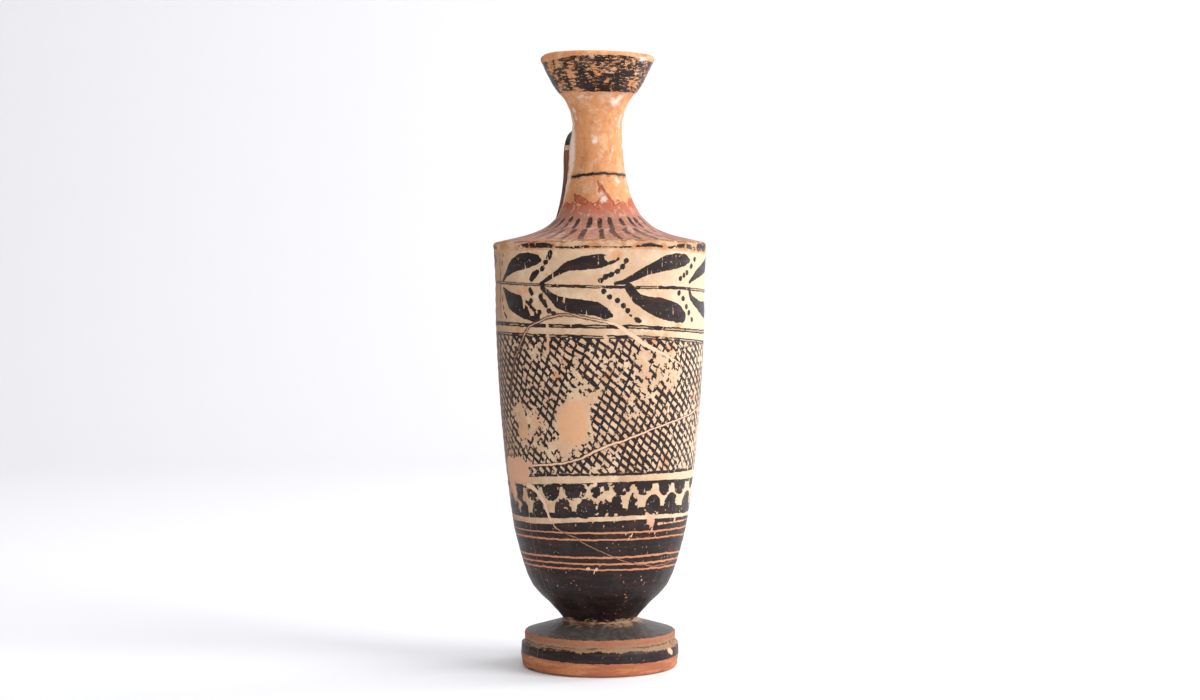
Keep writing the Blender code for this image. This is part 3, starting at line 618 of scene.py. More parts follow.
# Relief of the hand-made clay.
STANDING_HEIGHT = 0.002
SMOOTH_WALL_HEIGHT = 0.008
OUT_OF_ROUND = 0.00012
RING_DEPTH = 0.00006
RING_PITCH = 0.0041
LIP_WAVE = 0.00022
LUMP_DEPTH = 0.00009
LUMP_SIZE = 0.0026
EDGE_WEAR_DEPTH = 0.00028
EDGE_WEAR_REACH = 0.0016
NECK_CRUST_THICKNESS = 0.0012
NECK_CRUST_DEGREES = -84.0
NECK_CRUST_SPREAD = 20.0
NECK_CRUST_START = 0.008
NECK_CRUST_RISE = 0.012
NECK_CRUST_END = 0.034
NECK_CRUST_FALL = 0.009

# The lumps on a chip's surface, as (share of its size, fineness).
CHIP_ROUGHNESS = ((0.16, 900.0), (0.08, 2600.0))


def relief(angles, reach, height):
    """How far the clay stands proud of the turned shape: it is out of round and has throwing rings."""
    share = reach / SHOULDER_RADIUS
    wander = np.sin(2.0 * angles + 0.6 + height * 18.0) + 0.5 * np.sin(3.0 * angles - 1.1 - height * 31.0)
    rings = np.sin(2.0 * math.pi * height / RING_PITCH + 0.5 * np.sin(angles))
    smooth_wall = smooth((height - FOOT_TOP) / SMOOTH_WALL_HEIGHT)
    return OUT_OF_ROUND * wander * share + RING_DEPTH * rings * smooth_wall


def roughness(rings):
    """Small lumps and worn edges: how far each point stands proud, more along the vessel's edges."""
    heights = rings[:, :, 2]
    reach = np.hypot(rings[:, :, 0], rings[:, :, 1])
    amount = np.full(heights.shape, LUMP_DEPTH)
    edges = ((SHOULDER_RADIUS, SHOULDER_Z - SHOULDER_ROUNDING / 2), (MOUTH_RADIUS, LIP_Z),
             (FOOT_RADIUS, FOOT_LOWER_HEIGHT), (FOOT_RADIUS, 0.0), (FOOT_RADIUS - FOOT_TIER_STEP, FOOT_TOP))
    for edge_reach, edge_height in edges:
        gap = np.hypot(reach - edge_reach, heights - edge_height)
        amount += EDGE_WEAR_DEPTH * np.exp(-(gap / EDGE_WEAR_REACH) ** 2)
    lumps = np.array([noise.noise(Vector(point) / LUMP_SIZE) for point in rings.reshape(-1, 3)])
    return amount * lumps.reshape(heights.shape)


def neck_crust(turned, heights):
    """How thick the crust lies down the left side of the neck."""
    across = np.exp(-((turned - NECK_CRUST_DEGREES) / NECK_CRUST_SPREAD) ** 2)
    starts = smooth((heights - SHOULDER_Z - NECK_CRUST_START) / NECK_CRUST_RISE)
    ends = 1.0 - smooth((heights - SHOULDER_Z - NECK_CRUST_END) / NECK_CRUST_FALL)
    return NECK_CRUST_THICKNESS * across * starts * ends


def turned_rows():
    """The outline as one line of rows, inside first, then over the lip and down to the underside."""
    wall = wall_line()
    lip = lip_line()
    inside = cavity_line(np.vstack((wall, lip))[::WALL_POINT_STRIDE])
    outside = np.vstack((foot_line(), spaced(wall, outer_spacing)[1:], lip[1:]))
    middle_share, pole_share = UNDERSIDE_ROW_SHARES
    underside = np.array([
        (REST_RING_INNER_RADIUS - UNDERSIDE_SLOPE_RUN, UNDERSIDE_STEP),
        (REST_RING_INNER_RADIUS * middle_share, (UNDERSIDE_STEP + UNDERSIDE_DEPTH) / 2),
        (REST_RING_INNER_RADIUS * pole_share, UNDERSIDE_DEPTH),
    ])
    return inside, outside[::-1], underside


def closed_mesh(name, rings, first_pole=None, last_pole=None):
    """A mesh of rings of points joined in order, closed at each end by a pole or by a flat cap."""
    count = rings.shape[1]
    points = rings.reshape(-1, 3)
    extra = [pole for pole in (first_pole, last_pole) if pole is not None]
    if extra:
        points = np.vstack((points, extra))
    faces = []
    for row in range(len(rings) - 1):
        low = row * count
        high = low + count
        for column in range(count):
            after = (column + 1) % count
            faces.append((low + column, low + after, high + after, high + column))
    last = (len(rings) - 1) * count
    if first_pole is None:
        faces.append(tuple(range(count))[::-1])
        faces.append(tuple(range(last, last + count)))
    else:
        poles = len(rings) * count
        for column in range(count):
            after = (column + 1) % count
            faces.append((poles, after, column))
            faces.append((poles + 1, last + column, last + after))
    mesh = bpy.data.meshes.new(name)
    mesh.from_pydata(points.tolist(), [], faces)
    made = bpy.data.objects.new(name, mesh)
    bpy.context.scene.collection.objects.link(made)
    return made


def vessel_wall():
    """The hollow vessel without its handle, as rings round the axis with the clay's relief."""
    inside, outside, underside = turned_rows()
    rows = np.vstack((inside, outside, underside))
    angles = FRONT_AZIMUTH + math.pi - 2.0 * math.pi * np.arange(COLUMNS) / COLUMNS
    reach = np.repeat(rows[:, 0][:, None], COLUMNS, axis=1)
    height = np.repeat(rows[:, 1][:, None], COLUMNS, axis=1)
    turn = np.repeat(angles[None, :], len(rows), axis=0)
    standing = smooth(height / STANDING_HEIGHT)
    reach = reach + relief(turn, reach, height) * standing
    height = height + LIP_WAVE * np.sin(2.0 * turn + 1.0) * smooth((height - CUP_Z) / CUP_HEIGHT)
    plain = np.stack((reach * np.cos(turn), reach * np.sin(turn), height), axis=2)
    turned = wrapped(np.degrees(turn - FRONT_AZIMUTH))
    on_outside = (np.arange(len(rows)) > len(inside))[:, None]
    reach = reach + roughness(plain) * standing + neck_crust(turned, height) * on_outside
    x = reach * np.cos(turn) + neck_lean_at(height)
    rings = np.stack((x, reach * np.sin(turn), height), axis=2)
    floor_pole = (0.0, 0.0, rows[0, 1])
    under_pole = (0.0, 0.0, UNDERSIDE_DEPTH)
    return closed_mesh("lekythos_vessel", rings, floor_pole, under_pole)


def shoulder_height_at(reach):
    """The height of the shoulder's outside at that distance from the axis."""
    line = wall_line()
    slope = line[line[:, 1] > SHOULDER_Z - SHOULDER_ROUNDING]
    slope = slope[slope[:, 1] < NECK_Z][::-1]
    return float(np.interp(reach, slope[:, 0], slope[:, 1]))


def handle_line():
    """The strap's middle line as distance from the axis and height: up, over and into the neck."""
    foot_reach = SHOULDER_RADIUS - HANDLE_FOOT_INSET
    foot_z = shoulder_height_at(foot_reach) - (BODY_WALL - HANDLE_END_TO_HOLLOW)
    foot = np.array((foot_reach, foot_z))
    top_z = NECK_Z + HANDLE_TOP_ABOVE_WAIST - HANDLE_THICKNESS / 2
    bend = np.array((foot_reach - HANDLE_LEAN_IN, top_z - HANDLE_BEND_HEIGHT))
    top = np.array((bend[0] - HANDLE_BEND_RUN, top_z))
    neck = np.array((NECK_RADIUS - (NECK_WALL - HANDLE_END_TO_HOLLOW), top_z - HANDLE_NECK_DIP))
    rise = np.array((0.0, (bend[1] - foot[1]) * EVEN_REACH))
    corner_up = np.array((0.0, HANDLE_BEND_HEIGHT * HANDLE_BEND_REACH_UP))
    corner_in = np.array((HANDLE_BEND_RUN * HANDLE_BEND_REACH_IN, 0.0))
    run = np.array(((top[0] - neck[0]) * HANDLE_TOP_REACH, 0.0))
    rise_steps, bend_steps, run_steps = HANDLE_CURVE_STEPS
    return np.vstack((
        [foot],
        bezier(foot, rise, -rise, bend, rise_steps),
        bezier(bend, corner_up, corner_in, top, bend_steps),
        bezier(top, -run, run, neck, run_steps),
    ))


def strap_width_at(reach, height, foot_z):
    """The strap's width there: widest where it stands on the shoulder, and wider again at the neck."""
    up_share = (height - foot_z) / HANDLE_FOOT_FLARE_HEIGHT
    neck_share = (reach - NECK_RADIUS) / HANDLE_NECK_FLARE_LENGTH
    at_foot = (HANDLE_FOOT_WIDTH - HANDLE_WIDTH) * np.maximum(0.0, 1.0 - up_share) ** 2
    at_neck = (HANDLE_NECK_WIDTH - HANDLE_WIDTH) * (1.0 - smooth(neck_share))
    return HANDLE_WIDTH + at_foot + at_neck


def strap_handle():
    """The handle: an oval strap along its path. Its ends are inside the wall."""
    line = handle_line()
    along = np.gradient(line, axis=0)
    along /= np.hypot(along[:, 0], along[:, 1])[:, None]
    outward = np.column_stack((along[:, 1], -along[:, 0]))
    turn = 2.0 * math.pi * np.arange(HANDLE_COLUMNS) / HANDLE_COLUMNS
    half = HANDLE_THICKNESS / 2
    reach = line[:, 0][:, None] + half * np.cos(turn)[None, :] * outward[:, 0][:, None]
    height = line[:, 1][:, None] + half * np.cos(turn)[None, :] * outward[:, 1][:, None]
    width = strap_width_at(reach, height, line[0, 1])
    x = width / 2 * np.sin(turn)[None, :] + neck_lean_at(height)
    return closed_mesh("handle_strap", np.stack((x, reach, height), axis=2))


def chip_cutter(name, size, azimuth, reach, height):
    """A rough lump, turned to lie along an edge, that takes a chip off it."""
    made = bmesh.new()
    bmesh.ops.create_icosphere(made, subdivisions=4, radius=size)
    turn = Matrix.Rotation(azimuth, 4, "Z") @ Matrix.Rotation(CHIP_TILT, 4, "X")
    for vertex in made.verts:
        rough = sum(share * noise.noise(vertex.co * fineness) for share, fineness in CHIP_ROUGHNESS)
        vertex.co = vertex.co * (1.0 + rough)
    made.transform(turn @ Matrix.Diagonal((*CHIP_PROPORTIONS, 1.0)))
    mesh = bpy.data.meshes.new(name)
    made.to_mesh(mesh)
    made.free()
    cutter = bpy.data.objects.new(name, mesh)
    cutter.location = (reach * math.cos(azimuth), reach * math.sin(azimuth), height)
    bpy.context.scene.collection.objects.link(cutter)
    return cutter


def combined(obj, operand, operation):
    """Join operand to obj or cut it away, and apply the change to the mesh."""
    change = obj.modifiers.new(operand.name, "BOOLEAN")
    change.operation = operation
    change.object = operand
    change.solver = "EXACT"
    bpy.context.view_layer.update()
    evaluated = obj.evaluated_get(bpy.context.evaluated_depsgraph_get())
    mesh = bpy.data.meshes.new_from_object(evaluated)
    obj.modifiers.clear()
    obj.data = mesh
    bpy.data.objects.remove(operand)


def vessel():
    """The whole vessel as one closed mesh."""
    made = vessel_wall()
    combined(made, strap_handle(), "UNION")
    lip_reach = MOUTH_RADIUS - LIP_ROUNDING / 2
    foot_reach = FOOT_RADIUS - FOOT_EDGE_ROUNDING / 2
    combined(made, chip_cutter("lip_chip", LIP_CHIP_SIZE, LIP_CHIP_AZIMUTH, lip_reach, LIP_Z), "DIFFERENCE")
    foot_chip = chip_cutter("foot_chip", FOOT_CHIP_SIZE, FOOT_CHIP_AZIMUTH, foot_reach, 0.0)
    combined(made, foot_chip, "DIFFERENCE")
    made.data.name = "lekythos_vessel"
    made.data.shade_smooth()
    return made


def deepest(depth, turned, heights, stroke, radius):
    """Raise depth, in mm, to how far each point lies inside a stroke painted at that radius."""
    arc_length = math.radians(1.0) * radius
    middle = stroke[0][0]
    across = wrapped(turned - middle) * arc_length
    spine = [((degrees - middle) * arc_length, height, half) for degrees, height, half in stroke]
    low = np.min(spine, axis=0) - DEPTH_LIMIT
    high = np.max(spine, axis=0) + DEPTH_LIMIT
    half = max(place[2] for place in spine)
    near = (across > low[0] - half) & (across < high[0] + half)
    near &= (heights > low[1] - half) & (heights < high[1] + half)
    here = np.column_stack((across[near], heights[near]))
    best = depth[near]
    for start, end in zip(spine, spine[1:]):
        run = np.array(end[:2]) - start[:2]
        share = np.clip((here - start[:2]) @ run / (run @ run), 0.0, 1.0)
        gap = np.hypot(*(here - start[:2] - share[:, None] * run).T)
        best = np.maximum(best, start[2] + (end[2] - start[2]) * share - gap)
    depth[near] = best


def dot(degrees, height, radius):
    """A round dot as a stroke that goes nearly nowhere."""
    return ((degrees, height, radius), (degrees, height + 0.01, radius))


def moved_leaf(leaf, node, chance):
    """A leaf of the hidden side, set on its node with the small changes of a quick hand."""
    turn, rise, swell = chance.normal(0.0, 1.0, 3) * LEAF_WANDER
    last = len(leaf) - 1
    return tuple((node + degrees + turn * index / last, height + rise * index / last, half + swell * 0.5)
                 for index, (degrees, height, half) in enumerate(leaf))


def leaf_strokes(chance):
    """The strokes of the leaf band: leaves, rows of dots and the painter's first marks."""
    strokes = list(LEAVES) + list(DOT_BLOBS) + list(START_STROKES)
    strokes += [dot(degrees, height, DOT_RADIUS) for degrees, height in DOTS]
    for node in HIDDEN_NODES:
        strokes += [moved_leaf(UPPER_LEAF, node, chance), moved_leaf(LOWER_LEAF, node, chance)]
        for start, end in (DOT_ROW_UP, DOT_ROW_DOWN):
            for index in range(DOT_ROW_LENGTH):
                share = index / (DOT_ROW_LENGTH - 1)
                place = np.array(start) + (np.array(end) - start) * share + chance.normal(0.0, DOT_WANDER, 2)
                strokes.append(dot(node + place[0], place[1], DOT_RADIUS))
    return strokes


def ring_height(level, degrees):
    """The height that the painted ring of that level takes at that place round the vessel."""
    places = dict(PAINTED_RINGS)[level]
    ring_degrees, ring_heights = zip(*places)
    return float(np.interp(degrees, ring_degrees, ring_heights, period=360.0))


def half_oval(degrees, base, tip, half):
    """A stroke as wide as half at its base, which rounds off towards its tip like half an oval."""
    depth = abs(tip - base)
    half = min(half * OVAL_FULLNESS, depth * OVAL_LIMIT)
    reach = depth - half ** 2 / depth
    stroke = []
    for share in OVAL_SHARES:
        along = reach * share
        swell = half * math.sqrt(1.0 - along ** 2 / (depth ** 2 - half ** 2))
        stroke.append((degrees, base + math.copysign(along, tip - base), swell))
    return tuple(stroke)


def drop_strokes(chance):
    """The drops and domes between the black line and the band under it."""
    drops = list(DROPS)
    domes = list(DOMES)
    for index in range(HIDDEN_DROPS_COUNT):
        middle = HIDDEN_DROPS_START + index * DROP_PITCH
        for row, offset in ((drops, 0.0), (domes, DROP_PITCH / 2)):
            turn, rise, swell = chance.normal(0.0, 1.0, 3) * DROP_SPREAD
            row.append((middle + offset + turn, HIDDEN_DROP_TIP + rise, HIDDEN_DROP_HALF + swell))
    strokes = []
    rows = ((drops, DROP_TOP_LEVEL, DROP_OVERLAP), (domes, DOME_BASE_LEVEL, -DOME_OVERLAP))
    for row, level, overlap in rows:
        for degrees, tip, half in row:
            strokes.append(half_oval(degrees, ring_height(level, degrees) + overlap, tip, half))
    return strokes


def ray_strokes(chance):
    """The two rows of strokes that spread over the shoulder, measured along its slope."""
    strokes = []
    for count, start, end, swing in RAY_ROWS:
        for index in range(count):
            turn = chance.normal(index * 360.0 / count, RAY_SPREAD["turn"])
            first = chance.normal(start, RAY_SPREAD["start"])
            last = chance.normal(end, RAY_SPREAD["end"])
            half = chance.normal(RAY_HALF_WIDTH, RAY_SPREAD["half"])
            bend = swing * chance.normal(RAY_BEND, RAY_SPREAD["bend"])
            strokes.append((turn, first, last, half, bend))
    return strokes


def ray_depth(turned, reach, heights, chance):
    """How far each point of the shoulder lies inside one of its rays, in mm."""
    depth = np.full(len(turned), -DEPTH_LIMIT)
    slope = (heights > RAY_HEIGHTS[0]) & (heights < RAY_HEIGHTS[1])
    here_turned = turned[slope]
    here_reach = reach[slope]
    best = depth[slope]
    for turn, first, last, half, bend in ray_strokes(chance):
        share = np.clip((here_reach - first) / (last - first), 0.0, 1.0)
        middle = turn + np.degrees(bend * share * share / here_reach)
        across = np.radians(wrapped(here_turned - middle)) * here_reach
        beyond = np.maximum(0.0, np.maximum(first - here_reach, here_reach - last))
        best = np.maximum(best, half - np.hypot(across, beyond))
    depth[slope] = best
    return depth


def painted_level(turned, heights):
    """The painter's height of each point: where it would be if every ring ran level."""
    level = np.zeros(len(turned))
    below = None
    for ring_level, places in PAINTED_RINGS:
        degrees, ring_heights = zip(*places)
        here = np.interp(turned, degrees, ring_heights, period=360.0)
        if below is not None:
            share = np.clip((heights - below[1]) / (here - below[1]), 0.0, 1.0)
            level = np.where(heights >= below[1], below[0] + (ring_level - below[0]) * share, level)
        below = (ring_level, here)
    return level


def crack_traits(turned, heights, crack, radius):
    """How far each point lies above a crack in mm, and how wide its pale line and brown stain are there."""
    degrees, crack_heights, pale, brown = (np.array(values) for values in zip(*crack))
    slope = np.gradient(crack_heights, degrees * math.radians(1.0) * radius)
    above = heights - np.interp(turned, degrees, crack_heights)
    above = above / np.sqrt(1.0 + np.interp(turned, degrees, slope) ** 2)
    offset = np.clip(above, -CRACK_REACH, CRACK_REACH)
    offset = np.where((turned > degrees[0]) & (turned < degrees[-1]), offset, CRACK_REACH)
    return offset, np.interp(turned, degrees, pale), np.interp(turned, degrees, brown)


def wear_amount(turned, heights):
    """How much of the paint is gone round each point, from 0 to 1."""
    levels, amounts = zip(*WEAR_AT_LEVELS)
    wear = np.interp(heights, levels, amounts)
    for degrees, height, spread, amount in WEAR_PATCHES:
        across = np.radians(wrapped(turned - degrees)) * SHOULDER_RADIUS / MM
        wear += amount * np.exp(-(across ** 2 + (heights - height) ** 2) / (2 * spread ** 2))
    return wear


def points_in_mm(mesh):
    """Each point's degrees round the vessel, distance from its axis, height and depth to the back."""
    points = np.empty(len(mesh.vertices) * 3, dtype=np.float32)
    mesh.vertices.foreach_get("co", points)
    points = points.reshape(-1, 3).astype(float)
    x = points[:, 0] - neck_lean_at(points[:, 2])
    y = points[:, 1]
    return front_degrees(x, y), np.hypot(x, y) / MM, points[:, 2] / MM, y / MM


def tree_of(line):
    """A search tree of the points of a line."""
    tree = kdtree.KDTree(len(line))
    for index, place in enumerate(line):
        tree.insert((place[0], place[1], 0.0), index)
    tree.balance()
    return tree


def nearest_on(line, reach, heights):
    """For each point, which point of the line is nearest and how far off it is."""
    tree = tree_of(line)
    found = [tree.find((r, z, 0.0)) for r, z in zip(reach, heights)]
    return np.array([hit[1] for hit in found]), np.array([hit[2] for hit in found])


def surface_regions(turned, reach, heights, depths):
    """Which surface each point is on, with its place along and round that surface for the map."""
    inside, outside, underside = turned_rows()
    outline = np.vstack((inside, outside, underside, [(0.0, UNDERSIDE_DEPTH)])) / MM
    along = lengths_along(outline)
    dense = np.arange(0.0, along[-1], OUTLINE_SEARCH_SPACING)
    fine = np.column_stack((np.interp(dense, along, outline[:, 0]), np.interp(dense, along, outline[:, 1])))
    nearest, gap = nearest_on(fine, reach, heights)
    lip_end = along[len(inside) - 1]
    place = dense[nearest]
    is_inside = place < lip_end
    strap = handle_line() / MM
    strap_index, strap_gap = nearest_on(strap, depths, heights)
    behind = (depths > 0.0) & (heights > SHOULDER_Z / MM)
    is_handle = behind & (gap > STRAP_CLEAR_GAP) & (strap_gap < HANDLE_THICKNESS / MM)
    strap_along = np.gradient(strap, axis=0)
    strap_along /= np.hypot(strap_along[:, 0], strap_along[:, 1])[:, None]
    off = np.column_stack((depths, heights)) - strap[strap_index]
    outward = np.column_stack((strap_along[:, 1], -strap_along[:, 0]))[strap_index]
    facing = np.sum(off * outward, axis=1) / (HANDLE_THICKNESS / MM / 2)
    return {
        "inside": is_inside & ~is_handle,
        "handle": is_handle,
        "facing": np.where(is_handle, np.clip(facing, -1.0, 1.0), -1.0),
        "along_wall": np.where(is_inside, place / lip_end, (place - lip_end) / (along[-1] - lip_end)),
        "along_strap": strap_index / (len(strap) - 1),
    }


def add_attribute(mesh, name, values):
    """A value for each point, which the material reads."""
    made = mesh.attributes.new(name, "FLOAT", "POINT")
    made.data.foreach_set("value", np.asarray(values, dtype=np.float32))


# The parts of the map: the outside on top, then the inside and the handle side by side.
OUTSIDE_MAP = ((0.0, 0.14), (1.0, 1.0))
INSIDE_MAP = ((0.0, 0.0), (0.62, 0.13))
HANDLE_MAP = ((0.65, 0.0), (1.0, 0.13))


def add_map(mesh, turned, regions):
    """Unroll the vessel: degrees round it go across, and the way along its outline goes up."""
    corner_points = np.empty(len(mesh.loops), dtype=np.int32)
    mesh.loops.foreach_get("vertex_index", corner_points)
    starts = np.empty(len(mesh.polygons), dtype=np.int32)
    mesh.polygons.foreach_get("loop_start", starts)
    totals = np.empty(len(mesh.polygons), dtype=np.int32)
    mesh.polygons.foreach_get("loop_total", totals)
    face_of_corner = np.repeat(np.arange(len(totals)), totals)
    corner_turned = turned[corner_points]
    bearing = np.radians(corner_turned)
    east = np.bincount(face_of_corner, np.sin(bearing))
    north = np.bincount(face_of_corner, np.cos(bearing))
    middle = np.degrees(np.arctan2(east, north))[face_of_corner]
    unrolled = middle + wrapped(corner_turned - middle)
    across = np.clip(unrolled / 360.0 + 0.5, 0.0, 1.0)
    wall = regions["along_wall"][corner_points]
    round_strap = (regions["facing"][corner_points] + 1.0) / 2
    in_region = {}
    for name in ("handle", "inside"):
        share = np.bincount(face_of_corner, regions[name][corner_points]) / np.maximum(1, totals)
        in_region[name] = (share > 0.5)[face_of_corner]
    in_handle = in_region["handle"]
    in_inside = in_region["inside"]
    u = np.where(in_handle, round_strap, across)
    v = np.where(in_handle, regions["along_strap"][corner_points], wall)
    layer = mesh.uv_layers.new(name="OFBake")
    placed = np.empty((len(mesh.loops), 2))
    for chosen, (low, high) in ((in_handle, HANDLE_MAP), (in_inside & ~in_handle, INSIDE_MAP),
                                (~in_inside & ~in_handle, OUTSIDE_MAP)):
        placed[chosen, 0] = low[0] + u[chosen] * (high[0] - low[0])
        placed[chosen, 1] = low[1] + v[chosen] * (high[1] - low[1])
    layer.data.foreach_set("uv", placed.ravel().astype(np.float32))


def painted_depth(turned, heights, strokes, radius):
    """How far each point lies inside the nearest of the strokes, painted at that radius, in mm."""
    depth = np.full(len(turned), -DEPTH_LIMIT)
    for stroke in strokes:
        deepest(depth, turned, heights, stroke, radius)
    return depth


def add_paint(mesh):
    """Write what is painted, cracked, filled, worn and crusted where, for the material to read."""
    turned, reach, heights, depths = points_in_mm(mesh)
    regions = surface_regions(turned, reach, heights, depths)
    chance = np.random.default_rng(PAINTER_SEED)
    body = SHOULDER_RADIUS / MM
    neck = NECK_RADIUS / MM

    def inside_of(strokes, radius):
        return painted_depth(turned, heights, strokes, radius)

    rays = ray_depth(turned, reach, heights, chance)
    leaves = inside_of(leaf_strokes(chance) + list(EDGE_DASHES), body)
    drops = inside_of(drop_strokes(chance), DROP_RADIUS)
    level = painted_level(turned, heights)
    in_drops = (level > DROP_LEVELS[0]) & (level < DROP_LEVELS[1])
    drops = np.where(in_drops, drops + DROP_SWELL, -DEPTH_LIMIT)
    neck_crusts = [dot(*crust) for crust in CRUSTS if crust[1] > CRUST_ON_NECK]
    low_crusts = [dot(*crust) for crust in CRUSTS if crust[1] <= CRUST_ON_NECK]
    marks = {
        "ornament": np.maximum(np.maximum(rays, leaves), drops),
        "filled": inside_of(FILLINGS, DROP_RADIUS),
        "lost": inside_of(LOSSES + tuple(dot(*chip) for chip in CHIPS), body),
        "crust": np.maximum(inside_of(low_crusts, body), inside_of(neck_crusts + list(CRUST_STREAKS), neck)),
        "stain": inside_of([dot(*stain) for stain in ORANGE_STAINS], body),
        "tongue": inside_of(WASH_TONGUES, neck),
    }
    outside = ~regions["inside"] & ~regions["handle"]
    for name, depth in marks.items():
        add_attribute(mesh, name, np.where(outside, depth, -DEPTH_LIMIT))
    add_attribute(mesh, "level", level)
    add_attribute(mesh, "wear", wear_amount(turned, heights))
    for name, crack in CRACKS.items():
        offset, pale, brown = crack_traits(turned, heights, crack, body)
        add_attribute(mesh, name + "_crack", np.where(outside, offset, CRACK_REACH))
        add_attribute(mesh, name + "_pale", pale)
        add_attribute(mesh, name + "_brown", brown)
    for name in ("inside", "handle", "facing"):
        add_attribute(mesh, name, regions[name])
    add_map(mesh, turned, regions)


def light_of(share):
    """How much light a screen gives at that share of a channel."""
    return share / 12.92 if share <= 0.04045 else ((share + 0.055) / 1.055) ** 2.4


def colour(red, green, blue):
    """A colour as it looks on a screen, from 0 to 255, turned into the light that Blender mixes."""
    light = [light_of(channel / 255.0) for channel in (red, green, blue)]
    return (*light, 1.0)


class Finish:
    """Short calls that add the nodes of the vessel's material and join them."""

    def __init__(self, name):
        self.material = bpy.data.materials.new(name)
        self.material.use_nodes = True
        self.nodes = self.material.node_tree.nodes
        self.links = self.material.node_tree.links
        self.shader = self.nodes["Principled BSDF"]
        self.place = self.vector("SCALE", self.nodes.new("ShaderNodeTexCoord").outputs["Object"])
        self.place.node.inputs["Scale"].default_value = 1.0 / MM
        ahead = (math.cos(FRONT_AZIMUTH), math.sin(FRONT_AZIMUTH), 0.0)
        right = (-math.sin(FRONT_AZIMUTH), math.cos(FRONT_AZIMUTH), 0.0)
        rightward = self.vector("DOT_PRODUCT", self.place, right)
        self.turn = self.math("ARCTAN2", rightward, self.vector("DOT_PRODUCT", self.place, ahead))
        self.height = self.vector("DOT_PRODUCT", self.place, (0.0, 0.0, 1.0))
        self.level = self.attribute("level")
        self.inside = self.attribute("inside")
        self.handle = self.attribute("handle")
        self.net = self.band(self.level, NET_LEVELS)
        self.grain = self.mottle(1.3, *RAGGED)
        self.streaks = self.mottle(1.6, stretch=TURNED)

    def feed(self, socket, value):
        if isinstance(value, bpy.types.NodeSocket):
            self.links.new(value, socket)
        else:
            socket.default_value = value

    def fed_node(self, kind, operation, values):
        node = self.nodes.new(kind)
        node.operation = operation
        for socket, value in zip(node.inputs, values):
            self.feed(socket, value)
        return node

    def math(self, operation, *values):
        return self.fed_node("ShaderNodeMath", operation, values).outputs[0]

    def vector(self, operation, *values):
        node = self.fed_node("ShaderNodeVectorMath", operation, values)
        return node.outputs["Value" if operation == "DOT_PRODUCT" else "Vector"]

    def add(self, first, second):
        return self.math("ADD", first, second)

    def times(self, value, factor, extra=None):
        """The value times the factor, with the extra added to it."""
        if extra is None:
            return self.math("MULTIPLY", value, factor)
        return self.math("MULTIPLY_ADD", value, factor, extra)

    def both(self, *masks):
        """The least of several masks: 1 only where all are 1."""
        return functools.reduce(lambda least, mask: self.math("MINIMUM", least, mask), masks)

    def any(self, *masks):
        """The greatest of several masks: 1 where one of them is 1."""
        return functools.reduce(lambda greatest, mask: self.math("MAXIMUM", greatest, mask), masks)

    def without(self, mask):
        return self.math("SUBTRACT", 1.0, mask)

    def attribute(self, name):
        node = self.nodes.new("ShaderNodeAttribute")
        node.attribute_name = name
        return node.outputs["Fac"]

    def mottle(self, size, detail=4.0, roughness=0.6, stretch=None):
        """Noise between 0 and 1, evenly round 0.5, with lumps of about that size in mm. They are drawn
        out in a direction whose share in stretch is below 1."""
        node = self.nodes.new("ShaderNodeTexNoise")
        place = self.place if stretch is None else self.vector("MULTIPLY", self.place, stretch)
        self.feed(node.inputs["Vector"], place)
        node.inputs["Scale"].default_value = 1.0 / size
        node.inputs["Detail"].default_value = detail
        node.inputs["Roughness"].default_value = roughness
        return node.outputs["Fac"]

    def wobble(self, reach, size, detail=4.0, roughness=0.6):
        """Noise that goes evenly below and above 0, over that reach in all."""
        return self.times(self.mottle(size, detail, roughness), reach, -reach / 2)

    def shaken(self, value, reach, size, detail=4.0, roughness=0.6):
        """The value with a wobble added, so that what it bounds gets an uneven edge."""
        return self.add(value, self.wobble(reach, size, detail, roughness))

    def above(self, value, change):
        """0 before the start of the change, 1 past its end and eased between them."""
        node = self.nodes.new("ShaderNodeMapRange")
        node.interpolation_type = "SMOOTHSTEP"
        self.feed(node.inputs["Value"], value)
        node.inputs["From Min"].default_value, node.inputs["From Max"].default_value = change
        return node.outputs["Result"]

    def below(self, value, change):
        return self.without(self.above(value, change))

    def between(self, value, first_change, last_change):
        return self.both(self.above(value, first_change), self.below(value, last_change))

    def band(self, value, ends):
        """1 between two values and 0 elsewhere, with sharp ends."""
        low, high = ends
        return self.math("COMPARE", value, (low + high) / 2, (high - low) / 2)

    def patches(self, change, size, detail=4.0, roughness=0.6, stretch=None):
        """Where noise is above the change, so the higher the change, the fewer the patches."""
        return self.above(self.mottle(size, detail, roughness, stretch), change)

    def blend(self, share, first, second):
        node = self.nodes.new("ShaderNodeMix")
        node.data_type = "RGBA"
        for index, value in ((0, share), (6, first), (7, second)):
            self.feed(node.inputs[index], value)
        return node.outputs[2]

    def tint(self, base, over, mask, strength=None):
        """The base with another colour laid over it where the mask is, at that strength."""
        return self.blend(mask if strength is None else self.times(mask, strength), base, over)


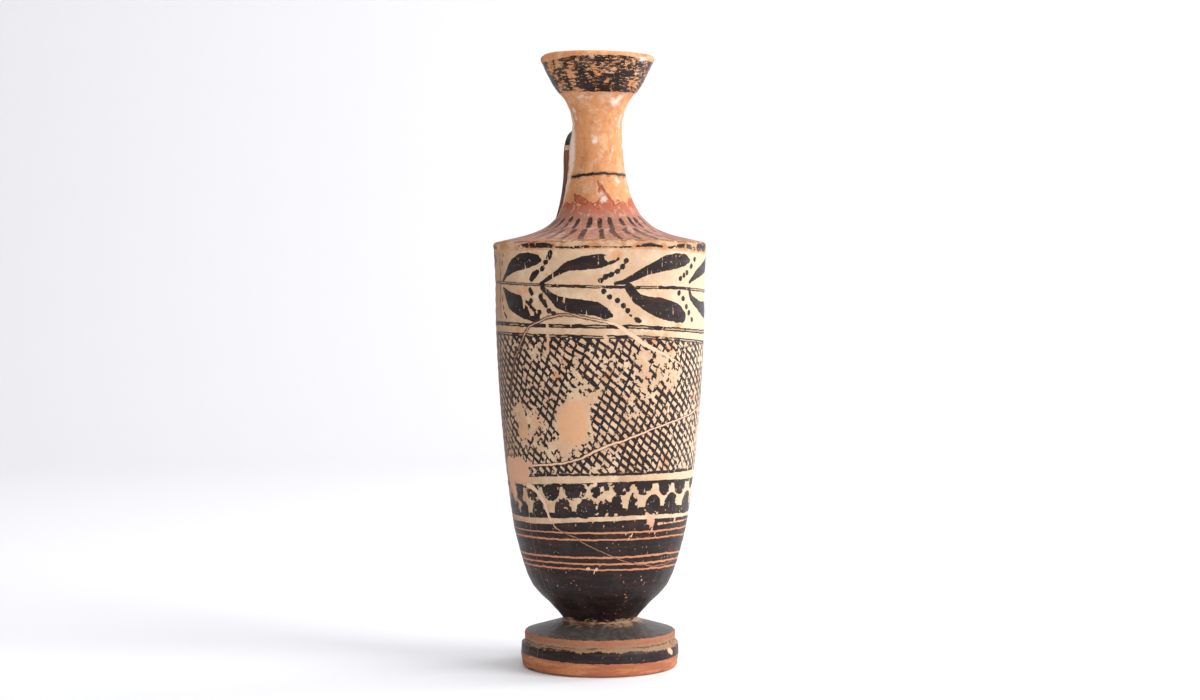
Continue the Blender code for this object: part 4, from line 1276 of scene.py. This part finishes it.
# Colours of the clay, the slip, the glaze and what the soil left.
CLAY = colour(184, 122, 80)
NECK_CLAY = colour(202, 140, 92)
NECK_CLAY_PALE = colour(212, 164, 122)
NECK_BROWN = colour(160, 98, 60)
FOOT_CLAY = colour(162, 95, 68)
FOOT_CLAY_DARK = colour(128, 72, 52)
RIM_BROWN = colour(136, 92, 70)
LINE_CLAY = colour(192, 128, 92)
EDGE_CLAY = colour(172, 122, 86)
# The handle's clay and its streaks are darkened as painted shade.
HANDLE_CLAY_PAINTED_SHADE = colour(134, 88, 60)
HANDLE_STREAK_PAINTED_SHADE = colour(92, 58, 42)
SLIP = colour(197, 167, 137)
SLIP_TAN = colour(186, 150, 118)
# Pale slip for random patches, and also a painted highlight on the right side of the body.
SLIP_PALE_AND_HIGHLIGHT = colour(214, 188, 160)
SLIP_PINK = colour(196, 148, 122)
# Painted shade: darker slip for the left side of the body.
SLIP_PAINTED_SHADE = colour(160, 118, 86)
WORN_SLIP = colour(206, 158, 120)
WASH = colour(156, 106, 88)
WASH_PALE = colour(182, 142, 124)
WASH_RED = colour(168, 88, 62)
WASH_EDGE = colour(132, 66, 46)
GLAZE = colour(28, 19, 18)
GLAZE_BROWN = colour(70, 44, 33)
GLAZE_GREY = colour(43, 37, 37)
GLAZE_RED = colour(60, 32, 25)
FADED_GLAZE = colour(98, 78, 68)
# Dull grey for the top of the foot: dust on the glaze and a painted sheen.
FOOT_TOP_GLAZE_AND_SHEEN = colour(84, 77, 73)
CRACK_PALE = colour(216, 182, 152)
CRACK_BROWN = colour(74, 38, 26)
CRACK_IN_GLAZE = colour(150, 108, 86)
PASTE = colour(204, 156, 126)
FILM = colour(206, 176, 150)
CRUST = colour(226, 206, 192)
SOIL_CRUST = colour(146, 118, 94)
# Dark soil round the stem, and in the foot's groove dirt with painted shade.
DIRT_AND_GROOVE_SHADE = colour(78, 56, 42)
SPECK = colour(104, 62, 38)
ORANGE = colour(192, 122, 66)

# Where one finish gives way to the next: the start and the end of each change, in mm of height or of
# painted level, and for sides of the vessel in radians.
GROOVE_SOIL = (8.9, 11.0)
GROOVE_DIRT_AND_SHADE = (9.8, 10.2)
RIM_START = (10.6, 11.2)
RIM_END = (13.0, 13.4)
FOOT_TOP_START = (12.4, 12.9)
FOOT_TOP_END = (17.0, 18.0)
STEM_DIRT = (16.2, 17.2)
STEM_SOIL = (16.0, 18.4)
FOOT_CLAY_END = (17.5, 20.0)
LINE_CLAY_START = (30.0, 32.0)
LOW_CHIPS_END = (50.0, 54.0)
SLIP_START = (52.0, 56.0)
GLAZED_BELLY_END = (52.0, 57.0)
FINE_LINES_START = (117.0, 118.5)
FINE_LINES_END = (138.0, 138.5)
LEAVES_START = (124.0, 125.0)
LEAVES_END = (149.0, 150.0)
SLIP_END = (149.6, 150.2)
EDGE_START = (149.4, 150.8)
EDGE_CREST = (152.7, 153.3)
EDGE_END = (153.4, 154.2)
SPECKS_START = (150.0, 170.0)
WASH_START = (153.0, 153.6)
OUTER_RAYS_START = (153.2, 154.0)
INNER_RAYS_START = (158.6, 159.4)
INNER_RAYS_END = (170.0, 172.0)
RED_WASH_START = (162.0, 166.0)
WASH_TOP = 167.2
FILM_START = (165.0, 168.0)
NECK_START = (166.0, 170.0)
NECK_LINE_START = (176.75, 176.9)
NECK_LINE_END = (177.7, 177.85)
NECK_LINE_HALO = (176.3, 178.1)
HANDLE_BAND = (187.4, 189.6)
HANDLE_GLAZE_START = (188.9, 189.4)
CUP_GLAZE_START = (192.0, 194.0)
MOUTH_START = (200.0, 204.0)
# The right side gets a painted highlight and the left side painted shade, in radians from the front.
RIGHT_HIGHLIGHT_START = (math.radians(25.0), math.radians(60.0))
RIGHT_HIGHLIGHT_END = (math.radians(95.0), math.radians(130.0))
LEFT_SHADE_START = (math.radians(-135.0), math.radians(-110.0))
LEFT_SHADE_END = (math.radians(-85.0), math.radians(-40.0))

# Kinds of noise, from cloudy to crumbled, as (how many finer layers it has, how strong they are).
SOFT = (2.0, 0.55)
EVEN = (3.0, 0.55)
RAGGED = (4.0, 0.65)
GRITTY = (4.0, 0.7)
CRUMBLED = (5.0, 0.65)
DUSTY = (5.0, 0.7)

# How far noise is drawn out: round the vessel as on a turned pot, or up and down.
TURNED = (0.12, 0.12, 1.0)
FINELY_TURNED = (0.03, 0.03, 1.0)
SOIL_LINES = (0.1, 0.1, 1.0)
THROWING_LINES = (0.06, 0.06, 1.0)
BRUSHED = (0.45, 0.45, 1.5)
UPRIGHT = (1.0, 1.0, 0.3)
DOWN_STRAP = (1.0, 1.0, 0.08)
SCRATCHED = (1.0, 1.0, 0.12)

# The net: how many strokes of each slant go round, how steeply they climb and how thick they are.
NET_LEVELS = (72.4, 119.0)
NET_STROKES = ((64, 0.31, 0.255), (73, -0.129, 0.145))
DROP_RADIUS = 33.5
DROP_LEVELS = (57.0, 69.0)

# The sheen of the glaze and of bare clay, and how deep the finest relief goes, in mm.
SPECULAR = 0.22
SHEEN_ROUGHNESS = 0.34
MATT_ROUGHNESS = 0.6
ROUGHNESS_SPREAD = 0.2
GRAIN_DEPTH = 0.05
GLAZE_DEPTH = 0.035
CRACK_DEPTH = -0.12
CRUST_DEPTH = 0.1


def net_strokes(finish):
    """Crossing strokes, drawn by hand, as a mask."""
    drift = finish.wobble(1.5, 14.0, *SOFT)
    tremble = finish.wobble(0.3, 2.4, *SOFT)
    swell = finish.wobble(0.28, 4.5, *EVEN)
    masks = []
    for count, climb, thickness in NET_STROKES:
        phase = finish.times(finish.height, climb, finish.times(finish.turn, count / (2.0 * math.pi), drift))
        share = finish.math("FRACT", finish.add(phase, tremble))
        off = finish.math("ABSOLUTE", finish.math("SUBTRACT", share, 0.5))
        masks.append(finish.math("LESS_THAN", off, finish.add(swell, thickness)))
    return finish.both(finish.any(*masks), finish.net)


def crack_masks(finish):
    """The pale line of each crack, and the brown stain along both its sides."""
    wander = finish.wobble(1.2, 2.4)
    ragged = finish.wobble(0.9, 1.1, 3.0)
    pale = []
    brown = []
    for name in CRACKS:
        distance = finish.math("ABSOLUTE", finish.add(finish.attribute(name + "_crack"), wander))
        past_pale = finish.math("SUBTRACT", distance, finish.attribute(name + "_pale"))
        past_brown = finish.math("SUBTRACT", distance, finish.attribute(name + "_brown"))
        pale.append(finish.below(past_pale, (-0.06, 0.06)))
        brown.append(finish.below(finish.add(past_brown, ragged), (-0.1, 0.25)))
    return finish.any(*pale), finish.both(finish.any(*brown), finish.patches((0.22, 0.36), 5.0, *EVEN))


def slip_colour(finish):
    """Cream slip with tan, pale and pink patches, worn warm in the net, with a painted highlight on the
    right side and painted shade on the left.
    """
    slip = finish.tint(SLIP, SLIP_TAN, finish.patches((0.38, 0.72), 16.0))
    slip = finish.tint(slip, SLIP_PALE_AND_HIGHLIGHT, finish.patches((0.46, 0.76), 6.0))
    slip = finish.tint(slip, SLIP_TAN, finish.above(finish.streaks, (0.5, 0.72)), 0.3)
    slip = finish.tint(slip, SLIP_PINK, finish.both(finish.patches((0.55, 0.66), 7.0), finish.net), 0.5)
    worn = finish.both(finish.above(finish.attribute("wear"), (0.5, 0.7)), finish.net)
    slip = finish.tint(slip, WORN_SLIP, worn)
    # Painted highlight on the right side, then painted shade on the left side.
    slip = finish.tint(slip, SLIP_PALE_AND_HIGHLIGHT, finish.between(finish.turn, RIGHT_HIGHLIGHT_START, RIGHT_HIGHLIGHT_END), 0.7)
    return finish.tint(slip, SLIP_PAINTED_SHADE, finish.between(finish.turn, LEFT_SHADE_START, LEFT_SHADE_END), 0.8)


def bare_clay(finish):
    """The clay of the neck and mouth, redder at the foot and between the lines of the belly."""
    neck = finish.tint(NECK_CLAY, NECK_CLAY_PALE, finish.patches((0.5, 0.72), 7.0))
    neck = finish.tint(neck, CLAY, finish.patches((0.5, 0.66), 4.0, stretch=UPRIGHT), 0.8)
    neck = finish.tint(neck, CLAY, finish.above(finish.streaks, (0.52, 0.7)), 0.4)
    foot = finish.tint(FOOT_CLAY, CLAY, finish.above(finish.streaks, (0.45, 0.65)))
    foot = finish.tint(foot, FOOT_CLAY_DARK, finish.above(finish.grain, (0.52, 0.7)), 0.6)
    base = finish.tint(neck, foot, finish.below(finish.height, FOOT_CLAY_END))
    return finish.tint(base, LINE_CLAY, finish.between(finish.height, LINE_CLAY_START, SLIP_START))


def with_edges(finish, base):
    """The rubbed edge of the shoulder, the brown about the neck's line, the foot's rim and a pale film."""
    edge_level = finish.shaken(finish.level, 2.4, 2.6)
    on_edge = finish.both(finish.above(edge_level, EDGE_START), finish.below(finish.level, EDGE_END))
    base = finish.tint(base, EDGE_CLAY, on_edge)
    bleached = finish.both(on_edge, finish.patches((0.44, 0.6), 6.0, *CRUMBLED))
    base = finish.tint(base, SLIP, bleached, 0.75)
    crest = finish.both(finish.band(edge_level, EDGE_CREST), finish.patches((0.4, 0.5), 4.0))
    base = finish.tint(base, SPECK, crest, 0.7)
    halo = finish.both(finish.band(edge_level, NECK_LINE_HALO), finish.above(finish.grain, (0.36, 0.6)))
    base = finish.tint(base, SPECK, halo, 0.7)
    rim = finish.between(finish.height, RIM_START, RIM_END)
    base = finish.tint(base, RIM_BROWN, rim, finish.times(finish.streaks, 0.9, 0.1))
    film = finish.both(finish.above(finish.height, FILM_START), finish.patches((0.52, 0.66), 4.5, *CRUMBLED))
    return finish.tint(base, FILM, film, 0.55)


def with_strap(finish, base):
    """The handle's clay, darkened as painted shade and streaked darker down its length, with the cream band
    under its top.
    """
    # The strap's clay carries painted shade.
    base = finish.tint(base, HANDLE_CLAY_PAINTED_SHADE, finish.handle)
    streaks = finish.both(finish.handle, finish.patches((0.44, 0.62), 1.6, 3.0, stretch=DOWN_STRAP))
    base = finish.tint(base, HANDLE_STREAK_PAINTED_SHADE, streaks, 0.7)
    return finish.tint(base, FILM, finish.both(finish.handle, finish.band(finish.height, HANDLE_BAND)))


def with_wash(finish, base):
    """The red-brown wash on the shoulder, with tongues that reach up the neck and a dark upper edge."""
    wash = finish.tint(WASH, WASH_PALE, finish.patches((0.46, 0.74), 5.0))
    wash = finish.tint(wash, WASH_RED, finish.above(finish.shaken(finish.height, 9.0, 4.0), RED_WASH_START))
    wash = finish.tint(wash, FILM, finish.patches((0.54, 0.66), 2.6, *DUSTY), 0.5)
    past_top = finish.math("SUBTRACT", finish.shaken(finish.height, 13.0, 5.0, 4.0, 0.55), WASH_TOP)
    past_tongue = finish.times(finish.shaken(finish.attribute("tongue"), 1.6, 1.6, 3.0), -1.0)
    past = finish.both(past_top, past_tongue)
    is_wash = finish.both(finish.above(finish.level, WASH_START), finish.below(past, (-0.05, 0.1)),
                          finish.without(finish.handle))
    base = finish.tint(base, wash, is_wash)
    return finish.tint(base, WASH_EDGE, finish.both(is_wash, finish.above(past, (-0.7, -0.25))), 0.7)


def clay_colour(finish):
    """The colour under the paint: clay at foot, mouth and neck, slip on the body, wash on the shoulder."""
    is_slip = finish.between(finish.level, SLIP_START, SLIP_END)
    base = finish.tint(bare_clay(finish), slip_colour(finish), is_slip)
    base = with_wash(finish, with_strap(finish, with_edges(finish, base)))
    on_neck = finish.both(finish.above(finish.height, NECK_START), finish.without(finish.handle))
    darker = finish.above(finish.grain, (0.5, 0.72))
    base = finish.tint(base, CLAY, darker, finish.times(on_neck, 0.35, 0.3))
    pitted = finish.both(on_neck, finish.patches((0.56, 0.7), 3.4, *DUSTY))
    base = finish.tint(base, NECK_BROWN, pitted, 0.6)
    upper_half = finish.above(finish.height, SPECKS_START)
    specks = finish.both(finish.patches((0.7, 0.74), 0.9, *SOFT), upper_half)
    base = finish.tint(base, SPECK, specks, 0.8)
    stained = finish.above(finish.shaken(finish.attribute("stain"), 3.0, 3.0), (-0.6, 1.2))
    return finish.tint(base, ORANGE, stained, 0.6)


def glaze_colour(finish):
    """Black glaze, greyer and browner by turns, and dull grey on top of the foot, from dust and a painted
    sheen.
    """
    glaze = finish.tint(GLAZE, GLAZE_GREY, finish.patches((0.48, 0.68), 8.0, 5.0))
    glaze = finish.tint(glaze, GLAZE_RED, finish.patches((0.5, 0.68), 1.6, *CRUMBLED, TURNED), 0.75)
    hairlines = finish.patches((0.58, 0.68), 0.6, 2.0, stretch=FINELY_TURNED)
    glaze = finish.tint(glaze, GLAZE_BROWN, hairlines, 0.45)
    glaze = finish.tint(glaze, GLAZE_BROWN, finish.patches((0.56, 0.72), 0.9, *GRITTY), 0.7)
    below_neck = finish.below(finish.height, INNER_RAYS_END)
    inner_rays = finish.both(finish.above(finish.level, INNER_RAYS_START), below_neck)
    outer_rays = finish.between(finish.level, OUTER_RAYS_START, INNER_RAYS_START)
    faded = finish.times(outer_rays, 0.75, finish.times(inner_rays, 0.2))
    faded = finish.times(faded, finish.times(finish.patches((0.44, 0.6), 3.0), 0.5, 0.5))
    at_mouth = finish.both(finish.above(finish.height, MOUTH_START), finish.patches((0.5, 0.64), 5.0))
    glaze = finish.tint(glaze, FADED_GLAZE, finish.any(faded, finish.times(at_mouth, 0.5)))
    # The top of the foot is greyed in patches: dust and a painted sheen.
    foot_top = finish.between(finish.height, FOOT_TOP_START, FOOT_TOP_END)
    dust_and_sheen = finish.times(finish.patches((0.42, 0.62), 2.2, *CRUMBLED), 0.5, 0.45)
    return finish.tint(glaze, FOOT_TOP_GLAZE_AND_SHEEN, foot_top, dust_and_sheen)


def ornament_depth(finish, is_drops):
    """How far inside a painted stroke each point lies, with the tremble of the brush, in mm."""
    tremble = finish.times(finish.wobble(0.7, 1.2, 3.0), finish.times(is_drops, 0.5, 1.0))
    return finish.add(finish.attribute("ornament"), tremble)


def painted_mask(finish, drawn):
    """Where black glaze was painted: rings, strokes and net, the cup's inside and the strap's outside."""
    uneven = finish.shaken(finish.level, 1.1, 2.6, *RAGGED)
    rings = finish.any(*(finish.band(uneven, levels) for levels in GLAZED_LEVELS))
    line_start = finish.above(finish.shaken(finish.level, 1.6, 3.0, *RAGGED), NECK_LINE_START)
    line_end = finish.below(finish.shaken(finish.level, 1.6, 2.1, *RAGGED), NECK_LINE_END)
    neck_line = finish.both(line_start, line_end)
    on_wall = finish.both(finish.without(finish.handle), finish.without(finish.inside))
    ornament = finish.above(drawn, (-0.05, 0.05))
    wall = finish.both(finish.any(rings, neck_line, ornament, net_strokes(finish)), on_wall)
    cup_inside = finish.both(finish.inside, finish.above(finish.height, CUP_GLAZE_START))
    facing_out = finish.above(finish.attribute("facing"), (-0.15, -0.05))
    on_bend = finish.above(finish.height, HANDLE_GLAZE_START)
    strap = finish.both(finish.handle, finish.any(facing_out, on_bend))
    thin = finish.any(*(finish.band(uneven, levels) for levels in THIN_MIDDLES))
    thin = finish.both(thin, finish.patches((0.46, 0.5), 8.0, *SOFT))
    return finish.any(wall, cup_inside, strap), finish.times(thin, -0.65, 1.0)


def flaking_noise(finish, is_mouth):
    """Noise that says where glaze flakes first: in streaks at the mouth and on the fine lines."""
    coarse = finish.mottle(2.3, 2.0, 0.5)
    fine = finish.math("SUBTRACT", finish.mottle(0.9, *EVEN), coarse)
    flakes = finish.times(fine, 0.3, coarse)
    streaks = finish.mottle(1.0, *GRITTY, BRUSHED)
    is_line = finish.between(finish.level, FINE_LINES_START, FINE_LINES_END)
    share = finish.any(is_mouth, finish.times(is_line, 0.4))
    return finish.times(finish.math("SUBTRACT", streaks, flakes), share, flakes)


def kept_mask(finish, drawn, is_drops, lost):
    """Where the glaze has neither flaked nor been scratched or chipped away."""
    is_mouth = finish.above(finish.height, MOUTH_START)
    wear = finish.times(finish.wobble(0.4, 11.0, *SOFT), finish.net, finish.attribute("wear"))
    wear = finish.times(finish.wobble(0.5, 5.0), is_mouth, wear)
    near_edge = finish.between(drawn, (-0.6, -0.3), (0.2, 1.5))
    wear = finish.times(near_edge, finish.times(is_drops, 0.05, 0.06), wear)
    flaking = flaking_noise(finish, is_mouth)
    kept = finish.above(finish.math("SUBTRACT", flaking, wear), (-0.008, 0.012))
    specks = finish.without(finish.patches((0.675, 0.7), 1.2, 3.0, 0.65))
    on_leaves = finish.between(finish.level, LEAVES_START, LEAVES_END)
    scratches = finish.times(on_leaves, 0.03, finish.mottle(0.7, 2.0, stretch=SCRATCHED))
    in_places = finish.patches((0.46, 0.54), 5.0, *EVEN)
    scratched = finish.both(finish.above(scratches, (0.7, 0.73)), in_places)
    return finish.both(kept, specks, finish.without(scratched), finish.without(lost))


def with_cracks(finish, surface, pale, brown):
    """Cracks with a pale middle and brown sides, and the places filled with plain paste."""
    surface = finish.tint(surface, CRACK_BROWN, brown, 0.85)
    in_glaze = finish.below(finish.level, GLAZED_BELLY_END)
    surface = finish.tint(surface, finish.blend(in_glaze, CRACK_PALE, CRACK_IN_GLAZE), pale)
    filled = finish.above(finish.shaken(finish.attribute("filled"), 3.0, 3.0), (-0.4, 0.1))
    return finish.tint(surface, PASTE, filled), filled


def with_soil(finish, surface):
    """Soil in the foot's groove and round the stem, a dark line in the groove that is dirt and painted
    shade, and the pale crusts.
    """
    soil = finish.shaken(finish.level, 2.6, 2.0)
    lines = finish.patches((0.36, 0.46), 0.8, 3.0, stretch=SOIL_LINES)
    groove = finish.both(finish.band(soil, GROOVE_SOIL), lines)
    surface = finish.tint(surface, SOIL_CRUST, groove, 0.9)
    # A dark line in the groove, dirt and painted shade in one, and dirt round the stem.
    dirt_and_groove_shade = finish.any(finish.band(soil, GROOVE_DIRT_AND_SHADE), finish.band(soil, STEM_DIRT))
    surface = finish.tint(surface, DIRT_AND_GROOVE_SHADE, finish.both(dirt_and_groove_shade, finish.patches((0.4, 0.5), 5.0, *EVEN)), 0.75)
    at_stem = finish.both(finish.band(soil, STEM_SOIL), finish.patches((0.46, 0.54), 3.0))
    surface = finish.tint(surface, SOIL_CRUST, at_stem, 0.8)
    crusted = finish.above(finish.shaken(finish.attribute("crust"), 3.4, 1.8, *CRUMBLED), (0.0, 1.5))
    return finish.tint(surface, CRUST, crusted, 0.88), groove, crusted


def fired_clay():
    """One finish for the whole vessel, layer on layer: clay and slip, glaze, cracks, fillings, crusts."""
    finish = Finish("fired_clay")
    is_drops = finish.band(finish.level, DROP_LEVELS)
    drawn = ornament_depth(finish, is_drops)
    painted, thinned = painted_mask(finish, drawn)
    chipped = finish.shaken(finish.attribute("lost"), 1.5, 1.3)
    lost = finish.above(chipped, (-0.05, 0.05))
    glazed = finish.times(finish.both(painted, kept_mask(finish, drawn, is_drops, lost)), thinned)

    base = finish.tint(clay_colour(finish), PASTE, lost, 0.4)
    low_chips = finish.both(lost, finish.below(finish.level, LOW_CHIPS_END))
    base = finish.tint(base, CRUST, low_chips, 0.5)
    pale, brown = crack_masks(finish)
    surface, filled = with_cracks(finish, finish.blend(glazed, base, glaze_colour(finish)), pale, brown)
    surface, groove, crusted = with_soil(finish, surface)
    finish.feed(finish.shader.inputs["Base Color"], surface)
    finish.shader.inputs["Specular IOR Level"].default_value = SPECULAR

    bare = finish.any(pale, filled, crusted, groove, finish.without(glazed))
    rough_grain = finish.mottle(0.7, *EVEN)
    sheen = finish.times(rough_grain, ROUGHNESS_SPREAD, SHEEN_ROUGHNESS)
    matt = finish.times(rough_grain, ROUGHNESS_SPREAD, MATT_ROUGHNESS)
    rough = finish.times(finish.math("SUBTRACT", matt, sheen), bare, sheen)
    finish.feed(finish.shader.inputs["Roughness"], rough)

    turning = finish.mottle(0.9, *EVEN, THROWING_LINES)
    depth = finish.times(turning, GRAIN_DEPTH, finish.times(rough_grain, GRAIN_DEPTH))
    for mask, mask_depth in ((glazed, GLAZE_DEPTH), (pale, CRACK_DEPTH), (crusted, CRUST_DEPTH)):
        depth = finish.times(mask, mask_depth, depth)
    bump = finish.nodes.new("ShaderNodeBump")
    bump.inputs["Distance"].default_value = MM
    bump.inputs["Strength"].default_value = 1.0
    finish.feed(bump.inputs["Height"], depth)
    finish.feed(finish.shader.inputs["Normal"], bump.outputs["Normal"])
    return finish.material


# The studio: paper that sweeps up behind the vessel, and lights as (name, place, size, power).
SWEEP_FRONT = -1.6
SWEEP_REACH = 0.9
SWEEP_BEND = 0.45
SWEEP_BEND_STEPS = 16
SWEEP_TOP = 2.6
SWEEP_HALF_WIDTH = 2.4
PAPER = (0.76, 0.76, 0.785, 1.0)
PAPER_ROUGHNESS = 0.9
WORLD_STRENGTH = 0.4
LIGHTS = (
    ("key", (1.05, -1.05, 0.95), (1.0, 1.0), 26.0),
    ("fill", (-0.3, -1.4, 0.8), (0.9, 0.9), 9.0),
    ("edge_light", (1.3, 0.1, 0.6), (0.5, 0.9), 11.0),
    ("backdrop_light", (0.3, 0.2, 1.9), (1.6, 0.8), 14.0),
)


def camera():
    """The camera at the photograph's place, aimed level with the vessel's middle."""
    data = bpy.data.cameras.new("camera")
    data.lens = CAMERA_LENS
    data.sensor_width = SENSOR_WIDTH
    made = bpy.data.objects.new("camera", data)
    bpy.context.scene.collection.objects.link(made)
    away = Vector((math.sin(CAMERA_AZIMUTH), -math.cos(CAMERA_AZIMUTH), 0.0))
    made.location = away * CAMERA_DISTANCE + Vector((0.0, 0.0, CAMERA_HEIGHT))
    aim = -away * math.cos(CAMERA_PITCH) - Vector((0.0, 0.0, math.sin(CAMERA_PITCH)))
    made.rotation_euler = aim.to_track_quat("-Z", "Y").to_euler()
    bpy.context.scene.camera = made


def soft_light(name, place, size, power):
    """A large area light aimed at the vessel's middle."""
    data = bpy.data.lights.new(name, "AREA")
    data.shape = "RECTANGLE"
    data.size = size[0]
    data.size_y = size[1]
    data.energy = power
    made = bpy.data.objects.new(name, data)
    bpy.context.scene.collection.objects.link(made)
    made.location = place
    aim = Vector((0.0, 0.0, LIP_Z / 2)) - made.location
    made.rotation_euler = aim.to_track_quat("-Z", "Y").to_euler()


def sweep():
    """A seamless pale floor that curves up into a backdrop, square to the camera."""
    profile = [(SWEEP_FRONT, 0.0), (SWEEP_REACH, 0.0)]
    for step in range(1, SWEEP_BEND_STEPS + 1):
        angle = math.pi / 2 * step / SWEEP_BEND_STEPS
        height = SWEEP_BEND - SWEEP_BEND * math.cos(angle)
        profile.append((SWEEP_REACH + SWEEP_BEND * math.sin(angle), height))
    profile.append((SWEEP_REACH + SWEEP_BEND, SWEEP_TOP))
    points = [(side * SWEEP_HALF_WIDTH, depth, height) for depth, height in profile for side in (-1, 1)]
    faces = [(2 * i, 2 * i + 1, 2 * i + 3, 2 * i + 2) for i in range(len(profile) - 1)]
    mesh = bpy.data.meshes.new("studio_floor")
    mesh.from_pydata(points, [], faces)
    mesh.shade_smooth()
    made = bpy.data.objects.new("studio_floor", mesh)
    made.rotation_euler = (0.0, 0.0, CAMERA_AZIMUTH)
    bpy.context.scene.collection.objects.link(made)
    material = bpy.data.materials.new("studio_paper")
    material.use_nodes = True
    shader = material.node_tree.nodes["Principled BSDF"]
    shader.inputs["Base Color"].default_value = PAPER
    shader.inputs["Roughness"].default_value = PAPER_ROUGHNESS
    mesh.materials.append(material)


def lights():
    """Large soft lights on both sides and above, a little stronger from the right."""
    for name, place, size, power in LIGHTS:
        soft_light(name, place, size, power)


def world():
    made = bpy.data.worlds.new("studio")
    made.use_nodes = True
    background = made.node_tree.nodes["Background"]
    background.inputs["Color"].default_value = (1.0, 1.0, 1.0, 1.0)
    background.inputs["Strength"].default_value = WORLD_STRENGTH
    bpy.context.scene.world = made
    bpy.context.scene.view_settings.view_transform = "Standard"


def main():
    camera()
    lights()
    world()
    sweep()
    piece = vessel()
    add_paint(piece.data)
    piece.data.materials.clear()
    piece.data.materials.append(fired_clay())
    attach(piece, "root")
    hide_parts("lekythos")


main()
